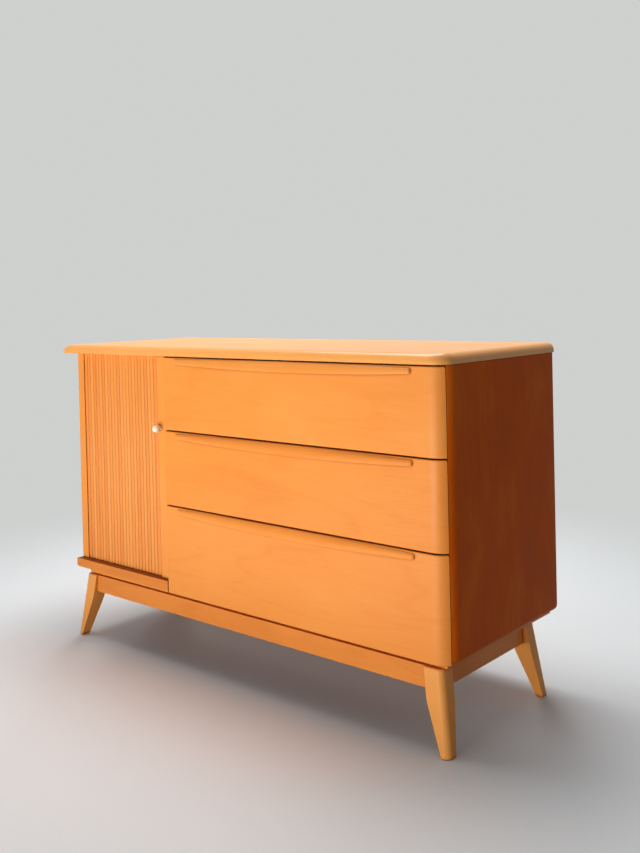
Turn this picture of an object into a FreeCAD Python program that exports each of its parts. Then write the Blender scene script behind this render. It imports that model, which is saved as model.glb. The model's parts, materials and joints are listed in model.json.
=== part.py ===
import FreeCAD, Part
import math
import os

import Sketcher

# Tambour credenza: a case on four splayed legs, with three drawers on the right
# and a sliding curtain of slats in front of the bay on the left.
# Millimetres, +Z up, the front faces -Y, origin under the middle of the bounding box.

SIZES = {
    # whole case
    "overall_width": 1240,
    "case_depth": 449,
    "top_overhang": 40,
    "top_thickness": 22,
    "top_roundover": 17,
    "top_left_corner": 5,
    "corner_radius": 39,
    "side_thickness": 19,
    "side_lift": 11.5,
    "side_roundunder": 10,
    "side_rear_corner": 14,
    "side_top_arris": 2,
    "left_panel_thickness": 10.5,
    "left_panel_setback": 19.5,
    "panel_lip_width": 14.5,
    "panel_lip_thickness": 1.5,
    "partition_thickness": 19,
    "bottom_thickness": 16,
    "bottom_left_inset": 60,
    "bottom_front_inset": 0.5,
    "bottom_edge_height": 6.5,
    "bottom_edge_arris": 1.5,
    "sill_thickness": 22,
    "sill_roundunder": 7,
    "sill_top_arris": 1.5,
    "panel_arris": 1,
    "back_thickness": 6,
    "back_inset": 6,
    # drawer fronts and their pulls
    "drawer_bank_width": 825,
    "drawer_1_height": 179,
    "drawer_2_height": 182.3,
    "drawer_3_height": 216.4,
    "front_thickness": 19,
    "front_gap": 2.6,
    "front_bottom_gap": 9.5,
    "front_side_gap": 1.5,
    "front_arris": 3,
    "front_clearance": 1,
    "corner_clip_width": 2.2,
    "corner_clip_height": 4.5,
    "end_depth": 16.4,
    "end_gap": 1.1,
    "pull_left_inset": 43,
    "pull_right_inset": 77,
    "pull_height": 23.4,
    "pull_end_height": 13,
    "pull_bulge": 3.2,
    "pull_end_bulge": 4.2,
    "pull_lip": 9.15,
    "pull_end_lip": 3.5,
    "pull_undercut": 3,
    "pull_drop": 0.6,
    "pull_end_drop": 3.4,
    "pull_end_round": 5,
    # drawer boxes and what they run on
    "box_side_thickness": 12,
    "box_back_thickness": 12,
    "box_bottom_thickness": 6,
    "box_bottom_rise": 8,
    "box_depth": 400,
    "box_top_drop": 22,
    "box_back_drop": 8,
    "box_side_clearance": 1.5,
    "run_clearance": 0.3,
    "runner_height": 16,
    "runner_width": 20,
    "drawer_rail_depth": 60,
    # tambour
    "stile_width": 38,
    "stile_thickness": 14,
    "stile_arris": 2,
    "stile_clearance": 1,
    "curtain_setback": 22,
    "slat_spacing": 12.7,
    "hidden_slats": 1,
    "slat_gap": 0.5,
    "slat_thickness": 6,
    "slat_crown": 2.2,
    "canvas_thickness": 0.8,
    "canvas_lap": 4,
    "canvas_end_gap": 3,
    "curtain_radius": 14,
    "curtain_wall_gap": 1,
    "groove_depth": 8,
    "groove_clearance": 0.6,
    "groove_end_gap": 20,
    "tongue_length": 7,
    "knob_diameter": 19.5,
    "knob_standoff": 13.6,
    "knob_inset": 9,
    "knob_height_in_case": 414,
    "stem_diameter": 8,
    "screw_diameter": 4,
    "screw_head_diameter": 8,
    "screw_head_height": 2.5,
    "knob_screw_bite": 8,
    # bay
    "liner_thickness": 6,
    "liner_offset": 12,
    "liner_front_gap": 26,
    "shelf_thickness": 16,
    "shelf_height": 270,
    "shelf_front_gap": 22,
    "shelf_back_gap": 10,
    "shelf_side_gap": 1,
    "pin_diameter": 6,
    "pin_length": 14,
    "pin_bite": 5,
    "pin_end_inset": 60,
    # base
    "leg_height": 166,
    "leg_width": 42,
    "leg_depth": 38,
    "foot_width": 18,
    "foot_depth": 25,
    "foot_round": 2.5,
    "leg_block_height": 62,
    "leg_bend_radius": 110,
    "leg_splay_side": 24.5,
    "leg_splay_front": 16,
    "leg_round": 14,
    "leg_top_round": 4,
    "leg_front_setback": 7,
    "leg_back_setback": 70,
    "leg_left_inset": 33,
    "leg_right_inset": 25,
    "rail_height": 44,
    "rail_thickness": 20,
    "rail_setback": 4.5,
    "side_rail_setback": 9,
    "block_length": 40,
    "block_width": 30,
    "block_height": 36,
    "base_screw_length": 48,
    "back_screw_length": 24,
    "back_screw_spacing": 130,
    "back_screw_inset": 60,
}

doc = FreeCAD.newDocument("credenza")
size = doc.addObject("Spreadsheet::Sheet", "size")
for row, (alias, millimetres) in enumerate(SIZES.items(), 1):
    size.set(f"A{row}", alias)
    size.set(f"B{row}", str(millimetres))
    size.setAlias(f"B{row}", alias)
doc.recompute()


def pull_arc(height, lip, bulge):
    """Where a pull's face arc has its centre and its nose, measured forward from the drawer's face."""
    chord = f"sqrt({height}^2 + {lip}^2)"
    back = f"({chord}^2 / (8 * {bulge}) - {bulge} / 2)"
    centre = f"({lip} / 2 - {height} / {chord} * {back})"
    return centre, f"({centre} + {back} + {bulge})"


PULL_REACH = pull_arc("size.pull_height", "size.pull_lip", "size.pull_bulge")[1]

# Planes from left to right
TOP_LEFT = "(-size.overall_width / 2)"
CASE_LEFT = f"({TOP_LEFT} + size.top_overhang)"
BAY_LEFT = f"({CASE_LEFT} + size.left_panel_thickness)"
CASE_RIGHT = "(size.overall_width / 2)"
PANEL_INNER = f"({CASE_RIGHT} - size.side_thickness)"
PARTITION_LEFT = f"({CASE_RIGHT} - size.drawer_bank_width)"
PARTITION_RIGHT = f"({PARTITION_LEFT} + size.partition_thickness)"
BOTTOM_LEFT = f"({CASE_LEFT} + size.bottom_left_inset)"
FRONT_LEFT = f"({PARTITION_LEFT} + size.front_side_gap)"
CORNER_X = f"({CASE_RIGHT} - size.corner_radius)"
LIP_RIGHT = f"({BAY_LEFT} + size.panel_lip_width)"
STILE_RIGHT = f"({PARTITION_LEFT} - size.stile_clearance)"
STILE_LEFT = f"({STILE_RIGHT} - size.stile_width)"
LINER_LEFT = f"({BAY_LEFT} + size.liner_offset)"
LINER_RIGHT = f"({LINER_LEFT} + size.liner_thickness)"
SHELF_LEFT = f"({LINER_RIGHT} + size.shelf_side_gap)"
SHELF_RIGHT = f"({PARTITION_LEFT} - size.shelf_side_gap)"
KNOB_X = f"({STILE_LEFT} + size.knob_inset)"

# Planes from front to back
FACE = f"(({PULL_REACH} - size.case_depth) / 2)"
REAR = f"({FACE} + size.case_depth)"
FRONT_INNER = f"({FACE} + size.front_thickness)"
CARCASE_FRONT = f"({FRONT_INNER} + size.front_clearance)"
BACK_REAR = f"({REAR} - size.back_inset)"
BACK_FRONT = f"({BACK_REAR} - size.back_thickness)"
CORNER_Y = f"({FACE} + size.corner_radius)"
PANEL_FRONT = f"({FACE} + size.left_panel_setback)"
LIP_REAR = f"({PANEL_FRONT} + size.panel_lip_thickness)"
CURTAIN_FACE = f"({FACE} + size.curtain_setback)"
CURTAIN_BACK = f"({CURTAIN_FACE} + size.slat_thickness)"
STILE_FACE = f"({CURTAIN_BACK} - size.stile_thickness)"
CURTAIN_TURN_X = f"({BAY_LEFT} + size.curtain_wall_gap + size.curtain_radius)"
CURTAIN_TURN_Y = f"({CURTAIN_FACE} + size.curtain_radius)"
BOX_REAR = f"({FRONT_INNER} + size.box_depth)"
DRAWER_RAIL_REAR = f"({CARCASE_FRONT} + size.drawer_rail_depth)"
SHELF_FRONT = f"({CURTAIN_BACK} + size.shelf_front_gap)"
SHELF_REAR = f"({BACK_FRONT} - size.shelf_back_gap)"

# Heights
CASE_BOTTOM = "size.leg_height"
RAIL_BOTTOM = "(size.leg_height - size.rail_height)"
SIDE_BOTTOM = "(size.leg_height + size.side_lift)"
DECK = "(size.leg_height + size.bottom_thickness)"
SILL_TOP = f"({DECK} + size.sill_thickness)"
FRONT_3_BOTTOM = f"({CASE_BOTTOM} + size.front_bottom_gap)"
FRONT_3_TOP = f"({FRONT_3_BOTTOM} + size.drawer_3_height)"
FRONT_2_BOTTOM = f"({FRONT_3_TOP} + size.front_gap)"
FRONT_2_TOP = f"({FRONT_2_BOTTOM} + size.drawer_2_height)"
FRONT_1_BOTTOM = f"({FRONT_2_TOP} + size.front_gap)"
FRONT_1_TOP = f"({FRONT_1_BOTTOM} + size.drawer_1_height)"
TOP_UNDER = f"({FRONT_1_TOP} + size.front_gap)"
TOP_FACE = f"({TOP_UNDER} + size.top_thickness)"
RUN_3 = f"({DECK} + size.runner_height)"
RUN_2 = f"({FRONT_2_BOTTOM} + (size.runner_height - size.front_gap) / 2)"
RUN_1 = f"({FRONT_1_BOTTOM} + (size.runner_height - size.front_gap) / 2)"
SHELF_UNDER = f"({SILL_TOP} + size.shelf_height)"
KNOB_Z = f"({CASE_BOTTOM} + size.knob_height_in_case)"

# Each drawer's front from bottom to top, and what it runs on
DRAWERS = {
    "drawer_1": (FRONT_1_BOTTOM, FRONT_1_TOP, RUN_1),
    "drawer_2": (FRONT_2_BOTTOM, FRONT_2_TOP, RUN_2),
    "drawer_3": (FRONT_3_BOTTOM, FRONT_3_TOP, RUN_3),
}

# How far round the case's front corner the fronts end, and the side panel begins
END_ANGLE = "acos(1 - size.end_depth / size.corner_radius)"
PANEL_ANGLE = f"({END_ANGLE} + size.end_gap / size.corner_radius * 1rad)"

# The numbers that a sketch gives to a side's start, end and centre points
START, END, CENTRE = range(1, 4)

# How closely two places must agree to count as one
TOLERANCE = 0.01

sub_parts = []


def value(expression):
    """The number that an expression of the sheet's sizes comes to."""
    return float(size.evalExpression(expression))


def keep(feature, label):
    """Name a finished sub-part and put it on the list of those to write."""
    feature.Label = label
    sub_parts.append(feature)
    return feature


def block(name, x, y, z):
    """A plain block; x, y and z are each the expressions of its two ends."""
    box = doc.addObject("Part::Box", name)
    for side, (low, high), axis in zip(("Length", "Width", "Height"), (x, y, z), "xyz"):
        box.setExpression(side, f"{high} - {low}")
        box.setExpression(f"Placement.Base.{axis}", low)
    return box


def rod(name, diameter, length, start, axis, angle):
    """A round rod from its start point, turned from +Z by an angle about an axis."""
    cylinder = doc.addObject("Part::Cylinder", name)
    cylinder.setExpression("Radius", f"{diameter} / 2")
    cylinder.setExpression("Height", length)
    cylinder.Placement.Rotation = FreeCAD.Rotation(axis, angle)
    for letter, place in zip("xyz", start):
        cylinder.setExpression(f"Placement.Base.{letter}", place)
    return cylinder


def screw(name, length, start, axis, angle):
    """A screw: a shank from its start point, turned as a rod is, and a head behind the start."""
    shank = rod(f"{name}_shank", "size.screw_diameter", length, start, axis, angle)
    direction = FreeCAD.Rotation(axis, angle).multVec(FreeCAD.Vector(0, 0, 1))
    height = "size.screw_head_height"
    head_start = [f"({place} - {round(step)} * {height})" for place, step in zip(start, direction)]
    head = rod(f"{name}_head", "size.screw_head_diameter", height, head_start, axis, angle)
    return join(name, shank, head)


def join(name, base, tool):
    """Two shapes made one."""
    fuse = doc.addObject("Part::Fuse", name)
    fuse.Base = base
    fuse.Tool = tool
    fuse.Refine = True
    return fuse


def cut(name, base, tool):
    """One shape with another taken away."""
    result = doc.addObject("Part::Cut", name)
    result.Base = base
    result.Tool = tool
    return result


def group(name, members):
    """Separate solids that share one sub-part."""
    compound = doc.addObject("Part::Compound", name)
    compound.Links = members
    return compound


def outline(body, name, plane, offset, corners, arcs=None):
    """A closed sketch, drawn anticlockwise; arcs maps a side's number to its arc's centre."""
    arcs = arcs or {}
    sketch = body.newObject("Sketcher::SketchObject", name)
    support = next(feature for feature in body.Origin.OriginFeatures if feature.Role == plane)
    sketch.AttachmentSupport = [(support, "")]
    sketch.MapMode = "FlatFace"
    sketch.setExpression("AttachmentOffset.Base.z", offset)
    points = [FreeCAD.Vector(value(x), value(y), 0) for x, y in corners]
    sides = list(zip(points, points[1:] + points[:1]))
    for index, (start, end) in enumerate(sides):
        if index in arcs:
            centre = FreeCAD.Vector(*(value(place) for place in arcs[index]), 0)
            spokes = (start - centre, end - centre)
            circle = Part.Circle(centre, FreeCAD.Vector(0, 0, 1), spokes[0].Length)
            turns = [math.atan2(spoke.y, spoke.x) for spoke in spokes]
            sketch.addGeometry(Part.ArcOfCircle(circle, *turns))
        else:
            sketch.addGeometry(Part.LineSegment(start, end))
    for index in range(len(sides)):
        following = (index + 1) % len(sides)
        sketch.addConstraint(Sketcher.Constraint("Coincident", index, END, following, START))
    for index, (x, y) in enumerate(corners):
        fix_point(sketch, index, START, "DistanceX", x)
        fix_point(sketch, index, START, "DistanceY", y)
    for index, (x, y) in arcs.items():
        chord = sides[index][1] - sides[index][0]
        if abs(chord.x) > abs(chord.y):
            fix_point(sketch, index, CENTRE, "DistanceY", y)
        else:
            fix_point(sketch, index, CENTRE, "DistanceX", x)
    return sketch


def fix_point(sketch, side, end, kind, expression):
    """Tie one coordinate of a point of a sketch to an expression."""
    number = sketch.addConstraint(Sketcher.Constraint(kind, -1, 1, side, end, value(expression)))
    sketch.setExpression(f"Constraints[{number}]", expression)


def pad(body, sketch, length):
    """A pad of a sketch along its own normal."""
    feature = body.newObject("PartDesign::Pad", "pad")
    feature.Profile = sketch
    feature.setExpression("Length", length)
    doc.recompute()
    return feature


def fillet(body, radius, wanted):
    """Round the edges of the body's last feature that the test picks."""
    base = body.Tip
    names = [
        f"Edge{number}"
        for number, edge in enumerate(base.Shape.Edges, 1)
        if wanted(edge.BoundBox)
    ]
    feature = body.newObject("PartDesign::Fillet", "fillet")
    feature.Base = (base, names)
    feature.setExpression("Radius", radius)
    doc.recompute()
    return feature


def near(first, second):
    """True where two places agree."""
    return abs(first - second) < TOLERANCE


def flat_at(box, height):
    """True for an edge that lies level at a height."""
    return near(box.ZMin, height) and near(box.ZMax, height)


def before(box, y):
    """True for an edge that reaches no further back than a place."""
    return box.YMax < y + TOLERANCE


def upright_at(box, x, y):
    """True for an upright edge at a place in plan."""
    return near(box.XMin, x) and near(box.XMax, x) and near(box.YMin, y) and near(box.YMax, y)


def curtain_band(name, outer, inner, right, rear, z):
    """A band along the curtain's path: a front run, a quarter turn and a run to the back.

    outer and inner are the band's two faces, as depths behind the slats' faces."""
    turn = FreeCAD.Vector(value(CURTAIN_TURN_X), value(CURTAIN_TURN_Y), value(z[0]))
    radii = [value(f"size.curtain_radius - ({depth})") for depth in (outer, inner)]
    runs = []
    for radius in radii:
        front_end = turn + FreeCAD.Vector(0, -radius, 0)
        side_start = turn + FreeCAD.Vector(-radius, 0, 0)
        half = radius * math.sqrt(0.5)
        middle = turn + FreeCAD.Vector(-half, -half, 0)
        start = FreeCAD.Vector(value(right), front_end.y, turn.z)
        end = FreeCAD.Vector(side_start.x, value(rear), turn.z)
        runs.append((start, front_end, middle, side_start, end))
    edges = []
    for start, front_end, middle, side_start, end in runs:
        edges.append(Part.LineSegment(start, front_end).toShape())
        edges.append(Part.Arc(front_end, middle, side_start).toShape())
        edges.append(Part.LineSegment(side_start, end).toShape())
    for corner in (0, -1):
        edges.append(Part.LineSegment(runs[0][corner], runs[1][corner]).toShape())
    face = Part.Face(Part.Wire(Part.__sortEdges__(edges)))
    band = doc.addObject("Part::Feature", name)
    band.Shape = face.extrude(FreeCAD.Vector(0, 0, value(f"({z[1]}) - ({z[0]})")))
    return band


def round_corner(angle):
    """The place in plan at an angle round the case's front corner, from its face."""
    return (
        f"{CORNER_X} + size.corner_radius * sin({angle})",
        f"{CORNER_Y} - size.corner_radius * cos({angle})",
    )


def behind_corner(angle, depth):
    """The place in plan on the same radius of the corner, at a plane behind the face."""
    return (f"{CORNER_X} + ({CORNER_Y} - {depth}) * tan({angle})", depth)


def make_groove(name, z):
    """The cutter for a guide groove of the curtain."""
    outer = "-size.groove_clearance"
    inner = "size.slat_thickness + size.canvas_thickness + size.groove_clearance"
    return curtain_band(name, outer, inner, PARTITION_LEFT, f"{BACK_FRONT} - size.groove_end_gap", z)


def make_top_board():
    """Top board: rounded right corner, rounded upper edges, guide groove below."""
    body = doc.addObject("PartDesign::Body", "top_body")
    corners = [
        (TOP_LEFT, FACE),
        (CORNER_X, FACE),
        (CASE_RIGHT, CORNER_Y),
        (CASE_RIGHT, REAR),
        (TOP_LEFT, REAR),
    ]
    sketch = outline(body, "top_outline", "XY_Plane", TOP_UNDER, corners, {1: (CORNER_X, CORNER_Y)})
    pad(body, sketch, "size.top_thickness")
    left, front = value(TOP_LEFT), value(FACE)
    rear, height = value(REAR), value(TOP_FACE)
    fillet(body, "size.top_left_corner", lambda box: upright_at(box, left, front))
    fillet(
        body,
        "size.top_roundover",
        lambda box: flat_at(box, height) and not (near(box.YMin, rear) and near(box.YMax, rear)),
    )
    groove = make_groove("top_groove", (TOP_UNDER, f"{TOP_UNDER} + size.groove_depth"))
    keep(cut("top_board_grooved", body, groove), "top_board")


def make_sill_board():
    """Sill under the tambour: rounded under at its left end, guide groove on top."""
    body = doc.addObject("PartDesign::Body", "sill_body")
    corners = [
        (CASE_LEFT, FACE),
        (PARTITION_LEFT, FACE),
        (PARTITION_LEFT, BACK_FRONT),
        (BAY_LEFT, BACK_FRONT),
        (BAY_LEFT, REAR),
        (CASE_LEFT, REAR),
    ]
    pad(body, outline(body, "sill_outline", "XY_Plane", DECK, corners), "size.sill_thickness")
    left, front = value(CASE_LEFT), value(FACE)
    low, high = value(DECK), value(SILL_TOP)

    fillet(body, "size.sill_roundunder", lambda box: flat_at(box, low) and near(box.XMax, left))
    fillet(
        body,
        "size.sill_top_arris",
        lambda box: flat_at(box, high) and (near(box.XMax, left) or near(box.YMax, front)),
    )
    groove = make_groove("sill_groove", (f"{SILL_TOP} - size.groove_depth", SILL_TOP))
    keep(cut("sill_board_grooved", body, groove), "sill_board")


def make_bottom_board():
    """Bottom board behind the lowest drawer's front, with a thin edge that comes forward below the sill."""
    body = doc.addObject("PartDesign::Body", "bottom_board")

    def plan(right, front, rear):
        return [(BOTTOM_LEFT, front), (right, front), (right, rear), (BOTTOM_LEFT, rear)]

    board = plan(PANEL_INNER, CARCASE_FRONT, BACK_REAR)
    pad(body, outline(body, "bottom_outline", "XY_Plane", CASE_BOTTOM, board), "size.bottom_thickness")
    front = f"({FACE} + size.bottom_front_inset)"
    edge_bottom = f"({DECK} - size.bottom_edge_height)"
    edge = plan(PARTITION_LEFT, front, CARCASE_FRONT)
    pad(body, outline(body, "bottom_edge", "XY_Plane", edge_bottom, edge), "size.bottom_edge_height")
    low, face = value(edge_bottom), value(front)
    fillet(body, "size.bottom_edge_arris", lambda box: flat_at(box, low) and near(box.YMax, face))
    keep(body, "bottom_board")


def make_right_side_panel():
    """Right side panel: its rounded front edge carries on the drawer fronts' curve."""
    body = doc.addObject("PartDesign::Body", "right_side_panel")
    corners = [
        (PANEL_INNER, CARCASE_FRONT),
        behind_corner(PANEL_ANGLE, CARCASE_FRONT),
        round_corner(PANEL_ANGLE),
        (CASE_RIGHT, CORNER_Y),
        (CASE_RIGHT, REAR),
        (PANEL_INNER, REAR),
    ]
    sketch = outline(body, "panel_outline", "XY_Plane", SIDE_BOTTOM, corners, {2: (CORNER_X, CORNER_Y)})
    pad(body, sketch, f"{TOP_UNDER} - {SIDE_BOTTOM}")
    low, high, right, rear = (value(place) for place in (SIDE_BOTTOM, TOP_UNDER, CASE_RIGHT, REAR))
    fillet(body, "size.side_rear_corner", lambda box: flat_at(box, low) and near(box.YMin, rear))
    rounding = {"size.side_roundunder": low, "size.side_top_arris": high}
    for radius, height in rounding.items():
        fillet(
            body,
            radius,
            lambda box: flat_at(box, height) and near(box.XMax, right) and near(box.XMin, right),
        )
    keep(body, "right_side_panel")


def make_left_side_panel():
    """Left side panel, standing on the sill's left end, with a lip in front of the curtain's turn."""
    body = doc.addObject("PartDesign::Body", "left_side_panel")
    corners = [
        (CASE_LEFT, PANEL_FRONT),
        (LIP_RIGHT, PANEL_FRONT),
        (LIP_RIGHT, LIP_REAR),
        (BAY_LEFT, LIP_REAR),
        (BAY_LEFT, REAR),
        (CASE_LEFT, REAR),
    ]
    sketch = outline(body, "left_panel_outline", "XY_Plane", SILL_TOP, corners)
    pad(body, sketch, f"{TOP_UNDER} - {SILL_TOP}")
    left, lip, front = value(CASE_LEFT), value(LIP_RIGHT), value(PANEL_FRONT)
    fillet(
        body,
        "size.panel_arris",
        lambda box: upright_at(box, left, front) or upright_at(box, lip, front),
    )
    keep(body, "left_side_panel")


def make_pull(body, name, top):
    """Lip pull along a front's top edge: it slopes out to an undercut nose, less so at its ends."""
    left = f"({FRONT_LEFT} + size.pull_left_inset)"
    right = f"({CASE_RIGHT} - size.pull_right_inset)"
    end = ("size.pull_end_drop", "size.pull_end_height", "size.pull_end_lip", "size.pull_end_bulge")
    middle = ("size.pull_drop", "size.pull_height", "size.pull_lip", "size.pull_bulge")
    stations = [(left, end), (f"(({left} + {right}) / 2)", middle), (right, end)]
    root = f"({FACE} + size.front_arris)"
    sections = []
    for number, (place, (drop, height, lip, bulge)) in enumerate(stations):
        upper = f"({top} - {drop})"
        lower = f"({upper} - {height})"
        under = f"({lower} + size.pull_undercut)"
        edge = (f"({FACE} - {lip})", lower)
        section = [(root, upper), (FACE, upper), edge, (FACE, under), (root, under)]
        centre = (f"({FACE} - {pull_arc(height, lip, bulge)[0]})", f"({upper} - {height} / 2)")
        sections.append(outline(body, f"{name}_pull_{number}", "YZ_Plane", place, section, {1: centre}))
    loft = body.newObject("PartDesign::AdditiveLoft", "pull")
    loft.Profile = sections[0]
    loft.Sections = sections[1:]
    doc.recompute()
    ends = [value(left), value(right)]
    proud = value(f"{FACE} - size.pull_end_lip")

    def face_arc_of_end(box):
        at_end = near(box.XMin, box.XMax) and any(near(box.XMin, place) for place in ends)
        return at_end and box.YMin < proud - TOLERANCE

    fillet(body, "size.pull_end_round", face_arc_of_end)


def clip_corner(body, name, tip, top):
    """Take the upper corner off a front's curved right end."""
    clip = [
        (f"{tip} - size.corner_clip_width", top),
        (tip, f"{top} - size.corner_clip_height"),
        (f"{tip} + size.corner_clip_width", top),
    ]
    pocket = body.newObject("PartDesign::Pocket", "clip")
    pocket.Profile = outline(body, f"{name}_clip", "XZ_Plane", f"-({FACE} - size.corner_radius)", clip)
    pocket.Type = "ThroughAll"
    doc.recompute()


def make_drawer_front(name, bottom, top):
    """Drawer front with its curved right end and the lip pull along its top edge."""
    body = doc.addObject("PartDesign::Body", f"{name}_front")
    arc_end = round_corner(END_ANGLE)
    corners = [
        (FRONT_LEFT, FACE),
        (CORNER_X, FACE),
        arc_end,
        behind_corner(END_ANGLE, FRONT_INNER),
        (FRONT_LEFT, FRONT_INNER),
    ]
    sketch = outline(body, f"{name}_outline", "XY_Plane", bottom, corners, {1: (CORNER_X, CORNER_Y)})
    pad(body, sketch, f"{top} - {bottom}")
    left, face = value(FRONT_LEFT), value(FACE)
    low, high = value(bottom), value(top)
    arc_rear = value(arc_end[1])

    def outer_edge(box):
        level = flat_at(box, high) or flat_at(box, low)
        return (level and before(box, arc_rear)) or upright_at(box, left, face)

    fillet(body, "size.front_arris", outer_edge)
    clip_corner(body, name, arc_end[0], top)
    make_pull(body, name, top)
    keep(body, f"{name}_front")


def make_drawer_box(name, bottom_of_run, front_top):
    """Drawer box behind a front: two sides, a back and a bottom let in between them."""
    left = f"({PARTITION_RIGHT} + size.box_side_clearance)"
    right = f"({PANEL_INNER} - size.box_side_clearance)"
    left_inner = f"({left} + size.box_side_thickness)"
    right_inner = f"({right} - size.box_side_thickness)"
    base = f"({bottom_of_run} + size.run_clearance)"
    rim = f"({front_top} - size.box_top_drop)"
    panel = f"({base} + size.box_bottom_rise)"
    floor = f"({panel} + size.box_bottom_thickness)"
    depth = (FRONT_INNER, BOX_REAR)
    back = (f"({BOX_REAR} - size.box_back_thickness)", BOX_REAR)
    keep(block(f"{name}_left_side", (left, left_inner), depth, (base, rim)), f"{name}_left_side")
    keep(block(f"{name}_right_side", (right_inner, right), depth, (base, rim)), f"{name}_right_side")
    inside = (left_inner, right_inner)
    keep(block(f"{name}_bottom", inside, depth, (panel, floor)), f"{name}_bottom")
    keep(block(f"{name}_back", inside, back, (floor, f"({rim} - size.box_back_drop)")), f"{name}_back")


def make_drawer_support(name, run):
    """Front rail below a drawer and the two runners behind it."""
    z = (f"({run} - size.runner_height)", run)
    across = (PARTITION_RIGHT, PANEL_INNER)
    keep(block(f"{name}_rail", across, (CARCASE_FRONT, DRAWER_RAIL_REAR), z), f"{name}_rail")
    behind = (DRAWER_RAIL_REAR, BACK_FRONT)
    left = (PARTITION_RIGHT, f"({PARTITION_RIGHT} + size.runner_width)")
    right = (f"({PANEL_INNER} - size.runner_width)", PANEL_INNER)
    keep(block(f"{name}_left_runner", left, behind, z), f"{name}_left_runner")
    keep(block(f"{name}_right_runner", right, behind, z), f"{name}_right_runner")


def make_carcase_boards():
    """Partition, back panel, bay liner, shelf and the pins under the shelf."""
    partition = ((PARTITION_LEFT, PARTITION_RIGHT), (CARCASE_FRONT, BACK_FRONT), (DECK, TOP_UNDER))
    keep(block("partition", *partition), "partition")
    back = ((BAY_LEFT, PANEL_INNER), (BACK_FRONT, BACK_REAR), (DECK, TOP_UNDER))
    keep(block("back_panel", *back), "back_panel")
    liner_front = f"({CURTAIN_TURN_Y} + size.liner_front_gap)"
    liner = ((LINER_LEFT, LINER_RIGHT), (liner_front, BACK_FRONT), (SILL_TOP, TOP_UNDER))
    keep(block("bay_liner", *liner), "bay_liner")
    shelf_z = (SHELF_UNDER, f"({SHELF_UNDER} + size.shelf_thickness)")
    keep(block("shelf", (SHELF_LEFT, SHELF_RIGHT), (SHELF_FRONT, SHELF_REAR), shelf_z), "shelf")
    axis = FreeCAD.Vector(0, 1, 0)
    pin_z = f"({SHELF_UNDER} - size.pin_diameter / 2)"
    pins = []
    for side, start in (
        ("left", f"({LINER_RIGHT} - size.pin_bite)"),
        ("right", f"({PARTITION_LEFT} + size.pin_bite - size.pin_length)"),
    ):
        for end, place in (
            ("front", f"({SHELF_FRONT} + size.pin_end_inset)"),
            ("rear", f"({SHELF_REAR} - size.pin_end_inset)"),
        ):
            name = f"pin_{side}_{end}"
            at = (start, place, pin_z)
            pins.append(rod(name, "size.pin_diameter", "size.pin_length", at, axis, 90))
    keep(group("shelf_pins", pins), "shelf_pins")


def curtain_runs():
    """The turn's radius at the slats' backs, the front run, the turn's length and the count of slats."""
    radius = value("size.curtain_radius - size.slat_thickness")
    straight = value(f"{STILE_LEFT} - {CURTAIN_TURN_X}")
    quarter = radius * math.pi / 2
    shown = math.ceil((straight + quarter) / value("size.slat_spacing"))
    return radius, straight, quarter, shown + int(value("size.hidden_slats"))


def make_slats():
    """The slats of the curtain, standing along its path from the lead stile to the hidden end."""
    turn_x, turn_y = value(CURTAIN_TURN_X), value(CURTAIN_TURN_Y)
    radius, straight, quarter, count = curtain_runs()
    thickness = value("size.slat_thickness")
    half = value("(size.slat_spacing - size.slat_gap) / 2")
    crown = value("size.slat_crown")
    low = value(f"{SILL_TOP} - size.tongue_length")
    rise = value(f"{TOP_UNDER} + size.tongue_length") - low
    profile = [
        FreeCAD.Vector(-half, 0, 0),
        FreeCAD.Vector(-half, crown - thickness, 0),
        FreeCAD.Vector(0, -thickness, 0),
        FreeCAD.Vector(half, crown - thickness, 0),
        FreeCAD.Vector(half, 0, 0),
    ]
    edges = [
        Part.LineSegment(profile[0], profile[1]).toShape(),
        Part.Arc(profile[1], profile[2], profile[3]).toShape(),
        Part.LineSegment(profile[3], profile[4]).toShape(),
        Part.LineSegment(profile[4], profile[0]).toShape(),
    ]
    slat = Part.Face(Part.Wire(edges)).extrude(FreeCAD.Vector(0, 0, rise))
    slats = []
    for number in range(count):
        along = (number + 0.5) * value("size.slat_spacing")
        turned = min(max(along - straight, 0), quarter) / radius
        past = max(along - straight - quarter, 0)
        centre = FreeCAD.Vector(turn_x, turn_y, low)
        if along < straight:
            back = FreeCAD.Vector(value(STILE_LEFT) - along, turn_y - radius, low)
        else:
            back = centre + FreeCAD.Vector(-math.sin(turned), -math.cos(turned), 0) * radius
            back = back + FreeCAD.Vector(0, past, 0)
        placed = slat.copy()
        turn = FreeCAD.Rotation(FreeCAD.Vector(0, 0, 1), -math.degrees(turned))
        placed.Placement = FreeCAD.Placement(back, turn)
        slats.append(placed)
    feature = doc.addObject("Part::Feature", "tambour_slats")
    feature.Shape = Part.makeCompound(slats)
    keep(feature, "tambour_slats")


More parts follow.
